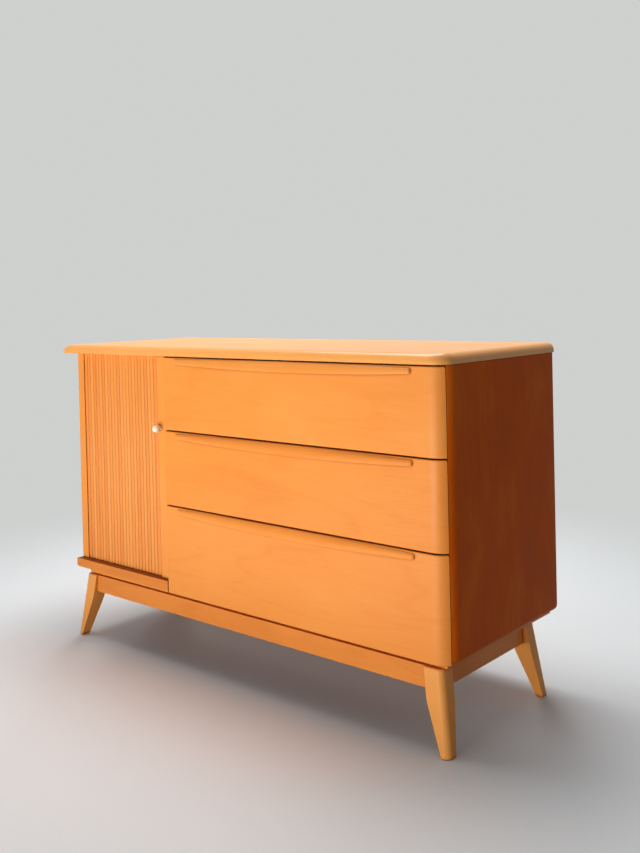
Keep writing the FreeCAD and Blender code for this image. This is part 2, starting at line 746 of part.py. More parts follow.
def make_tambour():
    """Lead stile with its tongues, slats, canvas backing, knob and knob screw."""
    forward = FreeCAD.Vector(1, 0, 0)
    stile = doc.addObject("PartDesign::Body", "stile_body")
    corners = [
        (STILE_LEFT, STILE_FACE),
        (STILE_RIGHT, STILE_FACE),
        (STILE_RIGHT, CURTAIN_BACK),
        (STILE_LEFT, CURTAIN_BACK),
    ]
    sketch = outline(stile, "stile_outline", "XY_Plane", f"{SILL_TOP} + size.stile_clearance", corners)
    pad(stile, sketch, f"{TOP_UNDER} - {SILL_TOP} - 2 * size.stile_clearance")
    left, right, face = value(STILE_LEFT), value(STILE_RIGHT), value(STILE_FACE)
    fillet(
        stile,
        "size.stile_arris",
        lambda box: upright_at(box, left, face) or upright_at(box, right, face),
    )
    tongue_z = (f"({SILL_TOP} - size.tongue_length)", f"({TOP_UNDER} + size.tongue_length)")
    tongue = block("stile_tongue", (STILE_LEFT, STILE_RIGHT), (CURTAIN_FACE, CURTAIN_BACK), tongue_z)
    screw_start = (KNOB_X, CURTAIN_BACK, KNOB_Z)
    bore = rod("stile_bore", "size.screw_diameter", "size.stile_thickness", screw_start, forward, 90)
    keep(cut("stile_bored", join("stile_whole", stile, tongue), bore), "lead_stile")

    knob_y = f"({STILE_FACE} - size.knob_standoff)"
    ball = doc.addObject("Part::Sphere", "knob_ball")
    ball.setExpression("Radius", "size.knob_diameter / 2")
    for letter, place in zip("xyz", (KNOB_X, knob_y, KNOB_Z)):
        ball.setExpression(f"Placement.Base.{letter}", place)
    stem_start = (KNOB_X, STILE_FACE, KNOB_Z)
    stem = rod("knob_stem", "size.stem_diameter", "size.knob_standoff", stem_start, forward, 90)
    knob_bore = rod("knob_bore", "size.screw_diameter", "size.knob_screw_bite", stem_start, forward, 90)
    keep(cut("knob_bored", join("knob_whole", ball, stem), knob_bore), "door_knob")

    shank_length = "size.stile_thickness + size.knob_screw_bite"
    keep(screw("knob_screw", shank_length, screw_start, forward, 90), "knob_screw")

    make_slats()
    _, straight, quarter, count = curtain_runs()
    hidden = count * value("size.slat_spacing") - straight - quarter
    canvas_z = (f"({SILL_TOP} + size.canvas_end_gap)", f"({TOP_UNDER} - size.canvas_end_gap)")
    canvas = curtain_band(
        "tambour_canvas",
        "size.slat_thickness",
        "size.slat_thickness + size.canvas_thickness",
        f"{STILE_LEFT} + size.canvas_lap",
        f"{CURTAIN_TURN_Y} + {hidden}",
        canvas_z,
    )
    keep(canvas, "tambour_canvas")


FRONT_VIEW = ("size.leg_width", "size.foot_width", "size.leg_splay_side")
SIDE_VIEW = ("size.leg_depth", "size.foot_depth", "size.leg_splay_front")
LEFT_LEG = f"({CASE_LEFT} + size.leg_left_inset)"
RIGHT_LEG = f"({CASE_RIGHT} - size.leg_right_inset)"
FRONT_LEG = f"({FACE} + size.leg_front_setback)"
REAR_LEG = f"({REAR} - size.leg_back_setback)"


def leg_slab(name, plane, across, sign, view, through):
    """A leg seen from one side, as a slab: a block beside the rail, bent and tapered to the foot.

    across is the outer corner at the top, and sign is -1 or 1, pointing outwards; view is the
    leg's breadth, the foot's breadth and the splay on that side."""
    body = doc.addObject("PartDesign::Body", name)
    breadth, foot, splay = view
    share = "(size.leg_block_height / size.leg_height)"
    bend = (
        f"({across} + {sign} * ({splay} * {share} - {breadth}))",
        "(size.leg_height - size.leg_block_height)",
    )
    corners = [
        (across, CASE_BOTTOM),
        (f"({across} + {sign} * {splay})", "0"),
        (f"({across} + {sign} * ({splay} - {foot}))", "0"),
        bend,
        (f"({across} - {sign} * {breadth})", CASE_BOTTOM),
    ]
    low, high = through
    offset = low if plane == "YZ_Plane" else f"-{high}"
    pad(body, outline(body, f"{name}_outline", plane, offset, corners), f"{high} - {low}")
    bend_height = value(bend[1])
    fillet(body, "size.leg_bend_radius", lambda box: flat_at(box, bend_height))
    return body


def make_leg(name, x, side, y, end):
    """A splayed leg: what its front view and its side view have in common.

    x and y are its outer corner at the top; side and end are -1 or 1, pointing outwards."""
    reach_x = [f"({x} - {side} * size.leg_width)", f"({x} + {side} * size.leg_splay_side)"]
    reach_y = [f"({y} - {end} * size.leg_depth)", f"({y} + {end} * size.leg_splay_front)"]
    body = leg_slab(name, "XZ_Plane", x, side, FRONT_VIEW, reach_y[::end])
    side_view = leg_slab(f"{name}_side_view", "YZ_Plane", y, end, SIDE_VIEW, reach_x[::side])
    common = body.newObject("PartDesign::Boolean", "both_views")
    common.setObjects([side_view])
    common.Type = "Common"
    doc.recompute()
    top_x, top_y, top_z = value(x), value(y), value(CASE_BOTTOM)
    foot_x, foot_y = value(reach_x[1]), value(reach_y[1])

    def outer_corner(box):
        spans_x = near(box.XMin, min(top_x, foot_x)) and near(box.XMax, max(top_x, foot_x))
        return spans_x and near(box.YMin, min(top_y, foot_y)) and near(box.YMax, max(top_y, foot_y))

    def outer_top(box):
        across_x = near(box.YMin, top_y) and near(box.YMax, top_y)
        return flat_at(box, top_z) and (across_x or (near(box.XMin, top_x) and near(box.XMax, top_x)))

    fillet(body, "size.leg_round", outer_corner)
    fillet(body, "size.leg_top_round", outer_top)
    fillet(body, "size.foot_round", lambda box: flat_at(box, 0))
    return keep(body, name)


def make_base():
    """Legs, the four rails cut to the legs' splay, corner blocks and screws."""
    legs = {
        "front_left": make_leg("front_left_leg", LEFT_LEG, -1, FRONT_LEG, -1),
        "front_right": make_leg("front_right_leg", RIGHT_LEG, 1, FRONT_LEG, -1),
        "rear_left": make_leg("rear_left_leg", LEFT_LEG, -1, REAR_LEG, 1),
        "rear_right": make_leg("rear_right_leg", RIGHT_LEG, 1, REAR_LEG, 1),
    }
    height = (RAIL_BOTTOM, CASE_BOTTOM)
    between_x = (f"({LEFT_LEG} + size.leg_width / 2)", f"({RIGHT_LEG} - size.leg_width / 2)")
    front = f"({FRONT_LEG} + size.rail_setback)"
    rear = f"({REAR_LEG} - size.rail_setback)"
    left = f"({LEFT_LEG} + size.side_rail_setback)"
    right = f"({RIGHT_LEG} - size.side_rail_setback)"
    front_inner = f"({front} + size.rail_thickness)"
    rear_inner = f"({rear} - size.rail_thickness)"
    left_inner = f"({left} + size.rail_thickness)"
    right_inner = f"({right} - size.rail_thickness)"
    between_y = (front_inner, rear_inner)
    rails = {
        "front_rail": (between_x, (front, front_inner), ("front_left", "front_right")),
        "rear_rail": (between_x, (rear_inner, rear), ("rear_left", "rear_right")),
        "left_rail": ((left, left_inner), between_y, ("front_left", "rear_left")),
        "right_rail": ((right_inner, right), between_y, ("front_right", "rear_right")),
    }
    for name, (x, y, ends) in rails.items():
        whole = block(f"{name}_blank", x, y, height)
        once = cut(f"{name}_one_end", whole, legs[ends[0]])
        keep(cut(f"{name}_cut", once, legs[ends[1]]), name)

    block_z = (f"({CASE_BOTTOM} - size.block_height)", CASE_BOTTOM)
    upright = FreeCAD.Vector(0, 0, 1)
    screws = []
    for end, (y_start, y_sign) in {"front": (front_inner, 1), "rear": (rear_inner, -1)}.items():
        for side, (x_leg, x_sign) in {"left": (LEFT_LEG, 1), "right": (RIGHT_LEG, -1)}.items():
            x_near = f"({x_leg} + {x_sign} * size.leg_width)"
            x_far = f"({x_near} + {x_sign} * size.block_length)"
            y_far = f"({y_start} + {y_sign} * size.block_width)"
            x = (x_near, x_far) if x_sign > 0 else (x_far, x_near)
            y = (y_start, y_far) if y_sign > 0 else (y_far, y_start)
            name = f"{end}_{side}_corner_block"
            keep(block(name, x, y, block_z), name)
            place_x = f"({x[0]} + size.block_length / 2)"
            place_y = f"({y[0]} + size.block_width / 2)"
            start = (place_x, place_y, block_z[0])
            screws.append(screw(f"{name}_screw", "size.base_screw_length", start, upright, 0))
    keep(group("base_screws", screws), "base_screws")


def make_back_screws():
    """Screws through the back panel into the partition's rear edge."""
    forward = FreeCAD.Vector(1, 0, 0)
    x = f"({PARTITION_LEFT} + size.partition_thickness / 2)"
    room = value(f"{TOP_UNDER} - {SILL_TOP} - 2 * size.back_screw_inset")
    steps = max(int(room // value("size.back_screw_spacing")), 1)
    screws = []
    for number in range(steps + 1):
        z = f"({SILL_TOP} + size.back_screw_inset + {number} * size.back_screw_spacing)"
        name = f"back_screw_{number}"
        screws.append(screw(name, "size.back_screw_length", (x, BACK_REAR, z), forward, 90))
    keep(group("back_screws", screws), "back_screws")


def check(features):
    """Stop if any object failed, or a sub-part's shape is missing or not valid."""
    for feature in doc.Objects:
        if {"Invalid", "Error"} & set(feature.State):
            raise RuntimeError(f"{feature.Name} failed: {feature.State}")
    for feature in features:
        if feature.Shape.isNull() or not feature.Shape.isValid():
            raise RuntimeError(f"{feature.Label} has no valid shape")


make_top_board()
make_sill_board()
make_bottom_board()
make_right_side_panel()
make_left_side_panel()
make_carcase_boards()
for drawer, (front_bottom, front_top, run) in DRAWERS.items():
    make_drawer_front(drawer, front_bottom, front_top)
    make_drawer_box(drawer, run, front_top)
    make_drawer_support(drawer, run)
make_tambour()
make_base()
make_back_screws()
doc.recompute()
check(sub_parts)

os.makedirs("parts", exist_ok=True)
for sub_part in sub_parts:
    sub_part.Shape.exportStep(f"parts/{sub_part.Label}.step")
print(len(sub_parts), "sub-parts written")
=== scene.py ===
"""Looks of a tambour credenza: wood finishes for its boards, its curtain, knob and screws, and a studio."""

import json
import logging
import math
from dataclasses import dataclass, replace
from enum import Enum
from functools import reduce
from typing import Iterable, Optional, Union

import bmesh
import bpy
from mathutils import Matrix, Vector

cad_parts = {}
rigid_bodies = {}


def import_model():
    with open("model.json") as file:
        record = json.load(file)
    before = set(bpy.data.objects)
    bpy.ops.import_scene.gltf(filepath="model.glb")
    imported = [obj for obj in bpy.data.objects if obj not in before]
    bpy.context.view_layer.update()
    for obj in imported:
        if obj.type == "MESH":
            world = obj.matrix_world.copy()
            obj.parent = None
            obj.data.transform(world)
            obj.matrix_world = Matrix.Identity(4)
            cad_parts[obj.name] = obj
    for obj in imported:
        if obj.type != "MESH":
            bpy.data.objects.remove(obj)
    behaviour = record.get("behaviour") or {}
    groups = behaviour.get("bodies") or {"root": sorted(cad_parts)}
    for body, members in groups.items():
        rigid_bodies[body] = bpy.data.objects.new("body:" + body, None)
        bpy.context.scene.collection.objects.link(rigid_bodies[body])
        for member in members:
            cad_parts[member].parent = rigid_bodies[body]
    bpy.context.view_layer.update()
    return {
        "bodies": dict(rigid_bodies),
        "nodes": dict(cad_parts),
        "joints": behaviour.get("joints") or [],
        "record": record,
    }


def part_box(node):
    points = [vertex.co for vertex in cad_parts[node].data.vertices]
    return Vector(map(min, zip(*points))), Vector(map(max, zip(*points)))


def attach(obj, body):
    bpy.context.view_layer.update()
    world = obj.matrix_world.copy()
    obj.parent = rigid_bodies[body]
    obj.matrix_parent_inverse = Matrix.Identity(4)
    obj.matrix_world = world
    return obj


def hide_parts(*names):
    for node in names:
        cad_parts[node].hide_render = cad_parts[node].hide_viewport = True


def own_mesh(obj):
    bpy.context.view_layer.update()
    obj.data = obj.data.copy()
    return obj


Colour = tuple[float, float, float]
Point = tuple[float, float, float]
Range = tuple[float, float]
Ring = list[bmesh.types.BMVert]
Socket = bpy.types.NodeSocket
Source = Union[Socket, float, tuple]

MILLIMETRE = 0.001
MERGE_DISTANCE = 0.001 * MILLIMETRE
SMOOTH_ANGLE = math.radians(32)
WARM_WHITE: Colour = (1.0, 0.98, 0.95)

log = logging.getLogger("credenza")


class Grain(Enum):
    """The axis along which a board's grain runs."""

    ALONG_X = 0
    ALONG_Y = 1
    ALONG_Z = 2


class Slot(Enum):
    """Names of the record's material slots, passed along with new pieces but not set on them."""

    MAPLE = "maple"
    CANVAS = "canvas"
    IVORY = "ivory"
    STEEL = "steel"


class Body(Enum):
    """The bodies that new pieces ride on."""

    CASE = "case"
    TAMBOUR = "tambour"


def even_steps(start: float, end: float, count: int) -> list[float]:
    """Divide a stretch evenly, with both of its ends among the steps."""
    return [start + (end - start) * step / count for step in range(count + 1)]


def open_socket(sockets: Iterable[Socket], name: str) -> Socket:
    """Find the first enabled socket of a name, since some nodes keep several of one name."""
    return next(socket for socket in sockets if socket.enabled and socket.name == name)


class NodeGraph:
    """A node tree that is built socket by socket."""

    def __init__(self, tree: bpy.types.NodeTree) -> None:
        """Start on an empty tree."""
        self.tree = tree
        self.tree.nodes.clear()

    def add(
        self, kind: str, inputs: Optional[dict[str, Source]] = None, **settings: object
    ) -> bpy.types.Node:
        """Add a node, set its options and feed its inputs.

        Args:
            kind: The node's type name.
            inputs: What each named input takes: a socket to link or a value to set.
            **settings: Options of the node, set before its inputs.

        Returns:
            The new node.
        """
        node = self.tree.nodes.new(kind)
        for option, setting in settings.items():
            setattr(node, option, setting)
        for name, source in (inputs or {}).items():
            self.feed(open_socket(node.inputs, name), source)
        return node

    def feed(self, socket: Socket, source: Source) -> None:
        """Link a socket to a source socket, or set its value.

        Args:
            socket: The input.
            source: What it takes.
        """
        if isinstance(source, Socket):
            self.tree.links.new(source, socket)
        else:
            socket.default_value = source

    def math(self, operation: str, *values: Source) -> Socket:
        """Combine values with one operation of the Math node.

        Args:
            operation: The operation's name.
            *values: What it takes, in order.

        Returns:
            The result.
        """
        node = self.add("ShaderNodeMath", operation=operation)
        for socket, source in zip(node.inputs, values):
            self.feed(socket, source)
        return node.outputs[0]

    def seen(self) -> Socket:
        """Tell the rays that show the background: from the camera, in gloss and through glass.

        Returns:
            One for such a ray, and zero for a ray that carries light.
        """
        path = self.add("ShaderNodeLightPath").outputs
        shown = path["Is Camera Ray"]
        for ray in ("Is Glossy Ray", "Is Transmission Ray"):
            shown = self.math("MAXIMUM", shown, path[ray])
        return shown


class ShaderGraph(NodeGraph):
    """The nodes of one material, round a Principled shader."""

    def __init__(self, name: str) -> None:
        """Make the material with its shader linked to the output.

        Args:
            name: The material's name.
        """
        self.material = bpy.data.materials.new(name)
        self.material.use_nodes = True
        super().__init__(self.material.node_tree)
        self.shader = self.add("ShaderNodeBsdfPrincipled")
        self.add("ShaderNodeOutputMaterial", {"Surface": self.shader.outputs["BSDF"]})
        coordinates = self.add("ShaderNodeTexCoord").outputs
        self.place = coordinates["Object"]
        self.facing = coordinates["Normal"]

    def mapped(self, vector: Source, scale: Point = (1, 1, 1), move: Point = (0, 0, 0)) -> Socket:
        """Scale a vector along the three axes and then move it."""
        inputs = {"Vector": vector, "Scale": scale, "Location": move}
        return self.add("ShaderNodeMapping", inputs).outputs["Vector"]

    def noise(self, vector: Source, scale: float, detail: float = 2.0, distortion: float = 0.0) -> Socket:
        """Sample a noise from 0 to 1, with so many features per unit of the vector."""
        inputs = {"Vector": vector, "Scale": scale, "Detail": detail, "Distortion": distortion}
        return self.add("ShaderNodeTexNoise", inputs).outputs[0]

    def total(self, *values: Source) -> Socket:
        """Add several values up, from the first on."""
        return reduce(lambda result, term: self.math("ADD", result, term), values)

    def spread(self, value: Source, depth: float) -> Socket:
        """Turn a value from 0 to 1 into one that swings about zero by half the depth."""
        return self.math("MULTIPLY_ADD", value, depth, -depth / 2)

    def ease(self, value: Source, start: float, end: float, low: float = 0.0, high: float = 1.0) -> Socket:
        """Carry a range of a value smoothly onto another range, held at the range's ends."""
        inputs = {"Value": value, "From Min": start, "From Max": end, "To Min": low, "To Max": high}
        return self.add("ShaderNodeMapRange", inputs, interpolation_type="SMOOTHSTEP").outputs["Result"]

    def tint(self, factor: Source, first: Source, second: Source, mode: str = "MIX") -> Socket:
        """Mix two colours.

        Args:
            factor: Share of the second colour.
            first: The colour at 0.
            second: The colour at 1.
            mode: The blend type.

        Returns:
            The mixed colour.
        """
        node = self.add("ShaderNodeMix", data_type="RGBA", blend_type=mode)
        for name, source in (("Factor", factor), ("A", first), ("B", second)):
            colour = source if isinstance(source, (Socket, float)) else (*source, 1.0)
            self.feed(open_socket(node.inputs, name), colour)
        return open_socket(node.outputs, "Result")

    def ramp(self, value: Source, colours: tuple[Colour, ...]) -> Socket:
        """Read a colour off a ramp.

        Args:
            value: Where the ramp is read, from 0 to 1.
            colours: The colours, evenly spaced.

        Returns:
            The colour.
        """
        node = self.add("ShaderNodeValToRGB", {"Fac": value})
        elements = node.color_ramp.elements
        stops = even_steps(0.0, 1.0, len(colours) - 1)
        for position in stops[1:-1]:
            elements.new(position)
        for element, position, colour in zip(elements, stops, colours):
            element.position = position
            element.color = (*colour, 1.0)
        return node.outputs["Color"]

    def relief(self, height: Source, depth: float, normal: Optional[Socket] = None) -> None:
        """Give the surface a bump.

        Args:
            height: The bump's height, from 0 to 1.
            depth: The height's depth in metres.
            normal: The normal that the bump stands on, if not the surface's own.
        """
        inputs = {"Height": height, "Distance": depth}
        if normal is not None:
            inputs["Normal"] = normal
        self.feed(self.shader.inputs["Normal"], self.add("ShaderNodeBump", inputs).outputs["Normal"])

    def set(self, **values: Source) -> None:
        """Feed inputs of the shader, named with underscores for spaces."""
        for name, source in values.items():
            self.feed(self.shader.inputs[name.replace("_", " ")], source)


@dataclass(frozen=True)
class NoiseLayer:
    """One noise of a wood's figure, drawn out along the grain."""

    stretch: float
    scale: float
    detail: float
    distortion: float = 0.0

    def read(self, graph: ShaderGraph, place: Source, grain: Grain) -> Socket:
        """Sample the noise at a place, from 0 to 1."""
        along = tuple(1.0 / self.stretch if axis == grain.value else 1.0 for axis in range(3))
        return graph.noise(graph.mapped(place, along), self.scale, self.detail, self.distortion)


@dataclass(frozen=True)
class WoodFinish:
    """A wood: its tones, its figure and what covers it."""

    name: str
    deep: Colour
    middle: Colour
    pale: Colour
    cloud_depth: float
    ring_count: float
    ring_depth: float
    fibre_depth: float
    fleck_depth: float
    roughness: float
    lacquer: float
    relief: float
    scuffs: float
    gloss: float = 0.18
    # crease_shade and its settings darken seams, grooves and corners by ambient occlusion: painted shade,
    # with some grime; grime_and_shade is the colour they darken towards.
    crease_shade: float = 0.0
    crease_shade_reach: float = 10.0 * MILLIMETRE
    crease_shade_alone: bool = False
    crease_shade_range: Range = (0.25, 0.95)
    crease_shade_samples: int = 6
    grime_and_shade: Colour = (0.22, 0.13, 0.10)
    # upper_shade darkens faces that point up: painted shade.
    upper_shade: float = 0.0
    upper_shade_range: Range = (0.75, 0.97)
    cloud: NoiseLayer = NoiseLayer(2.0, 9.0, 3.0, 0.4)
    figure: NoiseLayer = NoiseLayer(7.0, 6.5, 2.0, 0.5)
    fibre: NoiseLayer = NoiseLayer(26.0, 240.0, 3.0)
    fleck: NoiseLayer = NoiseLayer(9.0, 620.0, 1.0)
    fleck_range: Range = (0.62, 0.75)
    ring_width: float = 0.35
    ring_relief: float = 0.5
    fibre_roughness: float = 0.12
    cloud_roughness: float = 0.10
    lacquer_roughness: float = 0.22
    scuff_scale: float = 34.0
    scuff_range: Range = (0.03, 0.06)
    scuff_patch_scale: float = 11.0
    scuff_patch_range: Range = (0.66, 0.7)
    number_step: Point = (0.37, 0.61, 0.83)
    slat_step: float = 9.0
    slat_tones: float = 0.28
    edge_radius: float = 1.2 * MILLIMETRE
    edge_samples: int = 4

    def material(
        self, piece: str, grain: Grain, number: int, tone: float = 0.0, tone_attribute: str = ""
    ) -> bpy.types.Material:
        """Make the material of one piece.

        Args:
            piece: The piece's name.
            grain: The axis of its grain.
            number: Picks the piece's own stretch of the figure.
            tone: Lighter above zero, darker below.
            tone_attribute: A mesh attribute from 0 to 1 that sets each slat's own tone and figure.

        Returns:
            The material.
        """
        graph = ShaderGraph(f"{self.name}_{piece}")
        own_tone: Source = tone
        if tone_attribute:
            chance = graph.add("ShaderNodeAttribute", attribute_name=tone_attribute).outputs["Fac"]
            place = self.shifted(graph, chance)
            own_tone = graph.math("ADD", graph.spread(chance, self.slat_tones), tone)
        else:
            place = graph.mapped(graph.place, move=tuple(step * number for step in self.number_step))
        cloud = self.cloud.read(graph, place, grain)
        figure = self.figure.read(graph, place, grain)
        rings = graph.math("PINGPONG", graph.math("MULTIPLY", figure, self.ring_count), 1.0)
        line = graph.ease(rings, 0.0, self.ring_width, 1.0, 0.0)
        fibre = self.fibre.read(graph, place, grain)
        fleck = graph.ease(self.fleck.read(graph, place, grain), *self.fleck_range)
        shade = graph.total(
            0.5,
            graph.spread(cloud, self.cloud_depth),
            graph.spread(fibre, self.fibre_depth),
            graph.math("MULTIPLY", line, -self.ring_depth),
            graph.math("MULTIPLY", fleck, -self.fleck_depth),
            own_tone,
        )
        colour = graph.ramp(shade, (self.deep, self.middle, self.pale))
        if self.scuffs:
            colour = self.scuffed(graph, colour, place)
        # Painted shade, with some grime, in seams and corners.
        if self.crease_shade:
            colour = self.shade_creases(graph, colour)
        # Painted shade on faces that point up.
        if self.upper_shade:
            colour = self.shade_upper_faces(graph, colour)
        graph.set(
            Base_Color=colour,
            Roughness=graph.total(
                self.roughness,
                graph.spread(fibre, self.fibre_roughness),
                graph.spread(cloud, self.cloud_roughness),
            ),
            Specular_IOR_Level=self.gloss,
            Coat_Weight=self.lacquer,
            Coat_Roughness=self.lacquer_roughness,
        )
        height = graph.total(fibre, graph.math("MULTIPLY", line, -self.ring_relief))
        edges = graph.add("ShaderNodeBevel", {"Radius": self.edge_radius}, samples=self.edge_samples)
        graph.relief(height, self.relief, edges.outputs["Normal"])
        return graph.material

    def shifted(self, graph: ShaderGraph, chance: Source) -> Socket:
        """Move the figure by each slat's own value.

        Args:
            graph: The material's nodes.
            chance: The slat's value, from 0 to 1.

        Returns:
            Where the figure is read.
        """
        step = graph.math("MULTIPLY", chance, self.slat_step)
        shift = graph.add("ShaderNodeCombineXYZ", {axis: step for axis in "XYZ"})
        moved = graph.add("ShaderNodeVectorMath", operation="ADD")
        graph.feed(moved.inputs[0], graph.place)
        graph.feed(moved.inputs[1], shift.outputs["Vector"])
        return moved.outputs["Vector"]

    def scuffed(self, graph: ShaderGraph, colour: Source, place: Source) -> Socket:
        """Scatter small pale knocks over a colour.

        Args:
            graph: The material's nodes.
            colour: The wood's colour.
            place: Where the knocks are read.

        Returns:
            The colour with its knocks.
        """
        cells = graph.add("ShaderNodeTexVoronoi", {"Vector": place, "Scale": self.scuff_scale})
        near = graph.ease(cells.outputs["Distance"], *self.scuff_range, 1.0, 0.0)
        rare = graph.ease(graph.noise(place, self.scuff_patch_scale, 1.0), *self.scuff_patch_range)
        knocks = graph.math("MULTIPLY", graph.math("MULTIPLY", near, rare), self.scuffs)
        return graph.tint(knocks, colour, self.pale)

    def shade_creases(self, graph: ShaderGraph, colour: Source) -> Socket:
        """Darken a colour in seams and corners by ambient occlusion: painted shade, with some grime.

        Args:
            graph: The material's nodes.
            colour: The wood's colour.

        Returns:
            The colour with painted shade in its creases.
        """
        opening = graph.add(
            "ShaderNodeAmbientOcclusion",
            {"Distance": self.crease_shade_reach},
            samples=self.crease_shade_samples,
            only_local=self.crease_shade_alone,
        )
        depth = graph.ease(opening.outputs["AO"], *self.crease_shade_range, self.crease_shade, 0.0)
        return graph.tint(depth, colour, self.grime_and_shade, "MULTIPLY")

    def shade_upper_faces(self, graph: ShaderGraph, colour: Source) -> Socket:
        """Darken a colour where the board faces up: painted shade on upper faces.

        Args:
            graph: The material's nodes.
            colour: The wood's colour.

        Returns:
            The colour with painted shade on its upper face.
        """
        facing = graph.add("ShaderNodeSeparateXYZ", {"Vector": graph.facing}).outputs["Z"]
        shaded_share = graph.ease(facing, *self.upper_shade_range, 0.0, self.upper_shade)
        return graph.tint(shaded_share, colour, self.grime_and_shade, "MULTIPLY")


MAPLE = WoodFinish(
    name="maple",
    deep=(0.60, 0.145, 0.014),
    middle=(0.90, 0.300, 0.050),
    pale=(0.96, 0.44, 0.110),
    cloud_depth=0.28,
    ring_count=15.0,
    ring_depth=0.05,
    fibre_depth=0.16,
    fleck_depth=0.08,
    roughness=0.44,
    lacquer=0.05,
    relief=0.05 * MILLIMETRE,
    scuffs=0.5,
    # Painted shade in the seams and corners of every maple board.
    crease_shade=0.8,
)
# Darker, redder tones on the right side panel: painted shade for the side that faces away from the light;
# its stronger figure is the wood's own.
SHADED_SIDE_MAPLE = replace(
    MAPLE,
    name="shaded_side_maple",
    deep=(0.42, 0.070, 0.003),
    middle=(0.70, 0.115, 0.004),
    pale=(0.86, 0.27, 0.030),
    cloud_depth=0.6,
    ring_depth=0.03,
    fibre_depth=0.25,
    lacquer=0.0,
    gloss=0.05,
)
TOP_MAPLE = replace(MAPLE, name="top_maple", gloss=0.35, roughness=0.34, lacquer=0.16)
PANEL_MAPLE = replace(MAPLE, name="panel_maple", crease_shade=0.0)
# The sill's upper face is darkened: painted shade.
SHADED_SILL_MAPLE = replace(MAPLE, name="shaded_sill_maple", upper_shade=0.85)
# Slats with strong painted shade in the grooves between them.
SLAT_MAPLE = replace(
    MAPLE,
    name="slat_maple",
    cloud_depth=0.2,
    crease_shade=1.0,
    crease_shade_reach=6.0 * MILLIMETRE,
    crease_shade_alone=True,
)
INNER_WOOD = WoodFinish(
    name="inner_wood",
    deep=(0.36, 0.205, 0.095),
    middle=(0.53, 0.335, 0.165),
    pale=(0.66, 0.46, 0.26),
    cloud_depth=0.5,
    ring_count=12.0,
    ring_depth=0.22,
    fibre_depth=0.4,
    fleck_depth=0.16,
    roughness=0.68,
    lacquer=0.0,
    relief=0.12 * MILLIMETRE,
    scuffs=0.0,
)
PLYWOOD = replace(
    INNER_WOOD,
    name="plywood",
    deep=(0.30, 0.165, 0.075),
    middle=(0.45, 0.275, 0.135),
    pale=(0.58, 0.39, 0.21),
    cloud_depth=0.45,
    ring_count=24.0,
    ring_depth=0.3,
    fibre_depth=0.32,
    fleck_depth=0.2,
    roughness=0.72,
    figure=replace(WoodFinish.figure, stretch=3.5),
)


@dataclass(frozen=True)
class CanvasCloth:
    """Unbleached plain-weave canvas."""

    yarn: Colour = (0.43, 0.36, 0.24)
    hollow_shade: Colour = (0.22, 0.17, 0.105)
    threads_per_metre: float = 900.0
    slub_scale: Point = (40.0, 40.0, 400.0)
    slub_detail: float = 3.0
    slub_depth: float = 0.5
    roughness: Range = (0.85, 0.95)
    relief: float = 0.25 * MILLIMETRE

    def material(self) -> bpy.types.Material:
        """Make the weave: two sets of threads that pass over each other in turn.

        Returns:
            The material.
        """
        graph = ShaderGraph("canvas_weave")
        scale = self.threads_per_metre * math.pi
        axes = graph.add("ShaderNodeSeparateXYZ", {"Vector": graph.place})
        run = graph.math("ADD", axes.outputs["X"], axes.outputs["Y"])
        warp = graph.math("SINE", graph.math("MULTIPLY", run, scale))
        weft = graph.math("SINE", graph.math("MULTIPLY", axes.outputs["Z"], scale))
        over = graph.math("MULTIPLY_ADD", graph.math("MULTIPLY", warp, weft), 0.5, 0.5)
        slub = graph.noise(graph.mapped(graph.place, self.slub_scale), 1.0, self.slub_detail)
        height = graph.total(over, graph.spread(slub, self.slub_depth))
        graph.set(
            # The weave's low points take hollow_shade: painted shade between the threads; the slubs vary the
            # tone as well.
            Base_Color=graph.tint(height, self.hollow_shade, self.yarn),
            Roughness=graph.ease(slub, 0.0, 1.0, *self.roughness),
        )
        graph.relief(height, self.relief)
        return graph.material


@dataclass(frozen=True)
class Ivory:
    """Cream moulded knob, polished by hands."""

    cream: Colour = (0.93, 0.85, 0.64)
    aged: Colour = (0.80, 0.66, 0.42)
    cloud_scale: float = 160.0
    cloud_detail: float = 4.0
    cloud_bend: float = 0.6
    aged_range: Range = (0.4, 0.8)
    aged_share: float = 0.45
    worn_range: Range = (0.2, 0.8)
    roughness: Range = (0.2, 0.34)
    polish: float = 0.3
    grain_scale: float = 900.0
    relief: float = 0.02 * MILLIMETRE

    def material(self) -> bpy.types.Material:
        """Make the cream body with an aged, faintly clouded tone.

        Returns:
            The material.
        """
        graph = ShaderGraph("ivory_knob")
        cloud = graph.noise(graph.place, self.cloud_scale, self.cloud_detail, self.cloud_bend)
        aged = graph.ease(cloud, *self.aged_range, 0.0, self.aged_share)
        graph.set(
            Base_Color=graph.tint(aged, self.cream, self.aged),
            Roughness=graph.ease(cloud, *self.worn_range, *self.roughness),
            Coat_Weight=self.polish,
        )
        graph.relief(graph.noise(graph.place, self.grain_scale), self.relief)
        return graph.material


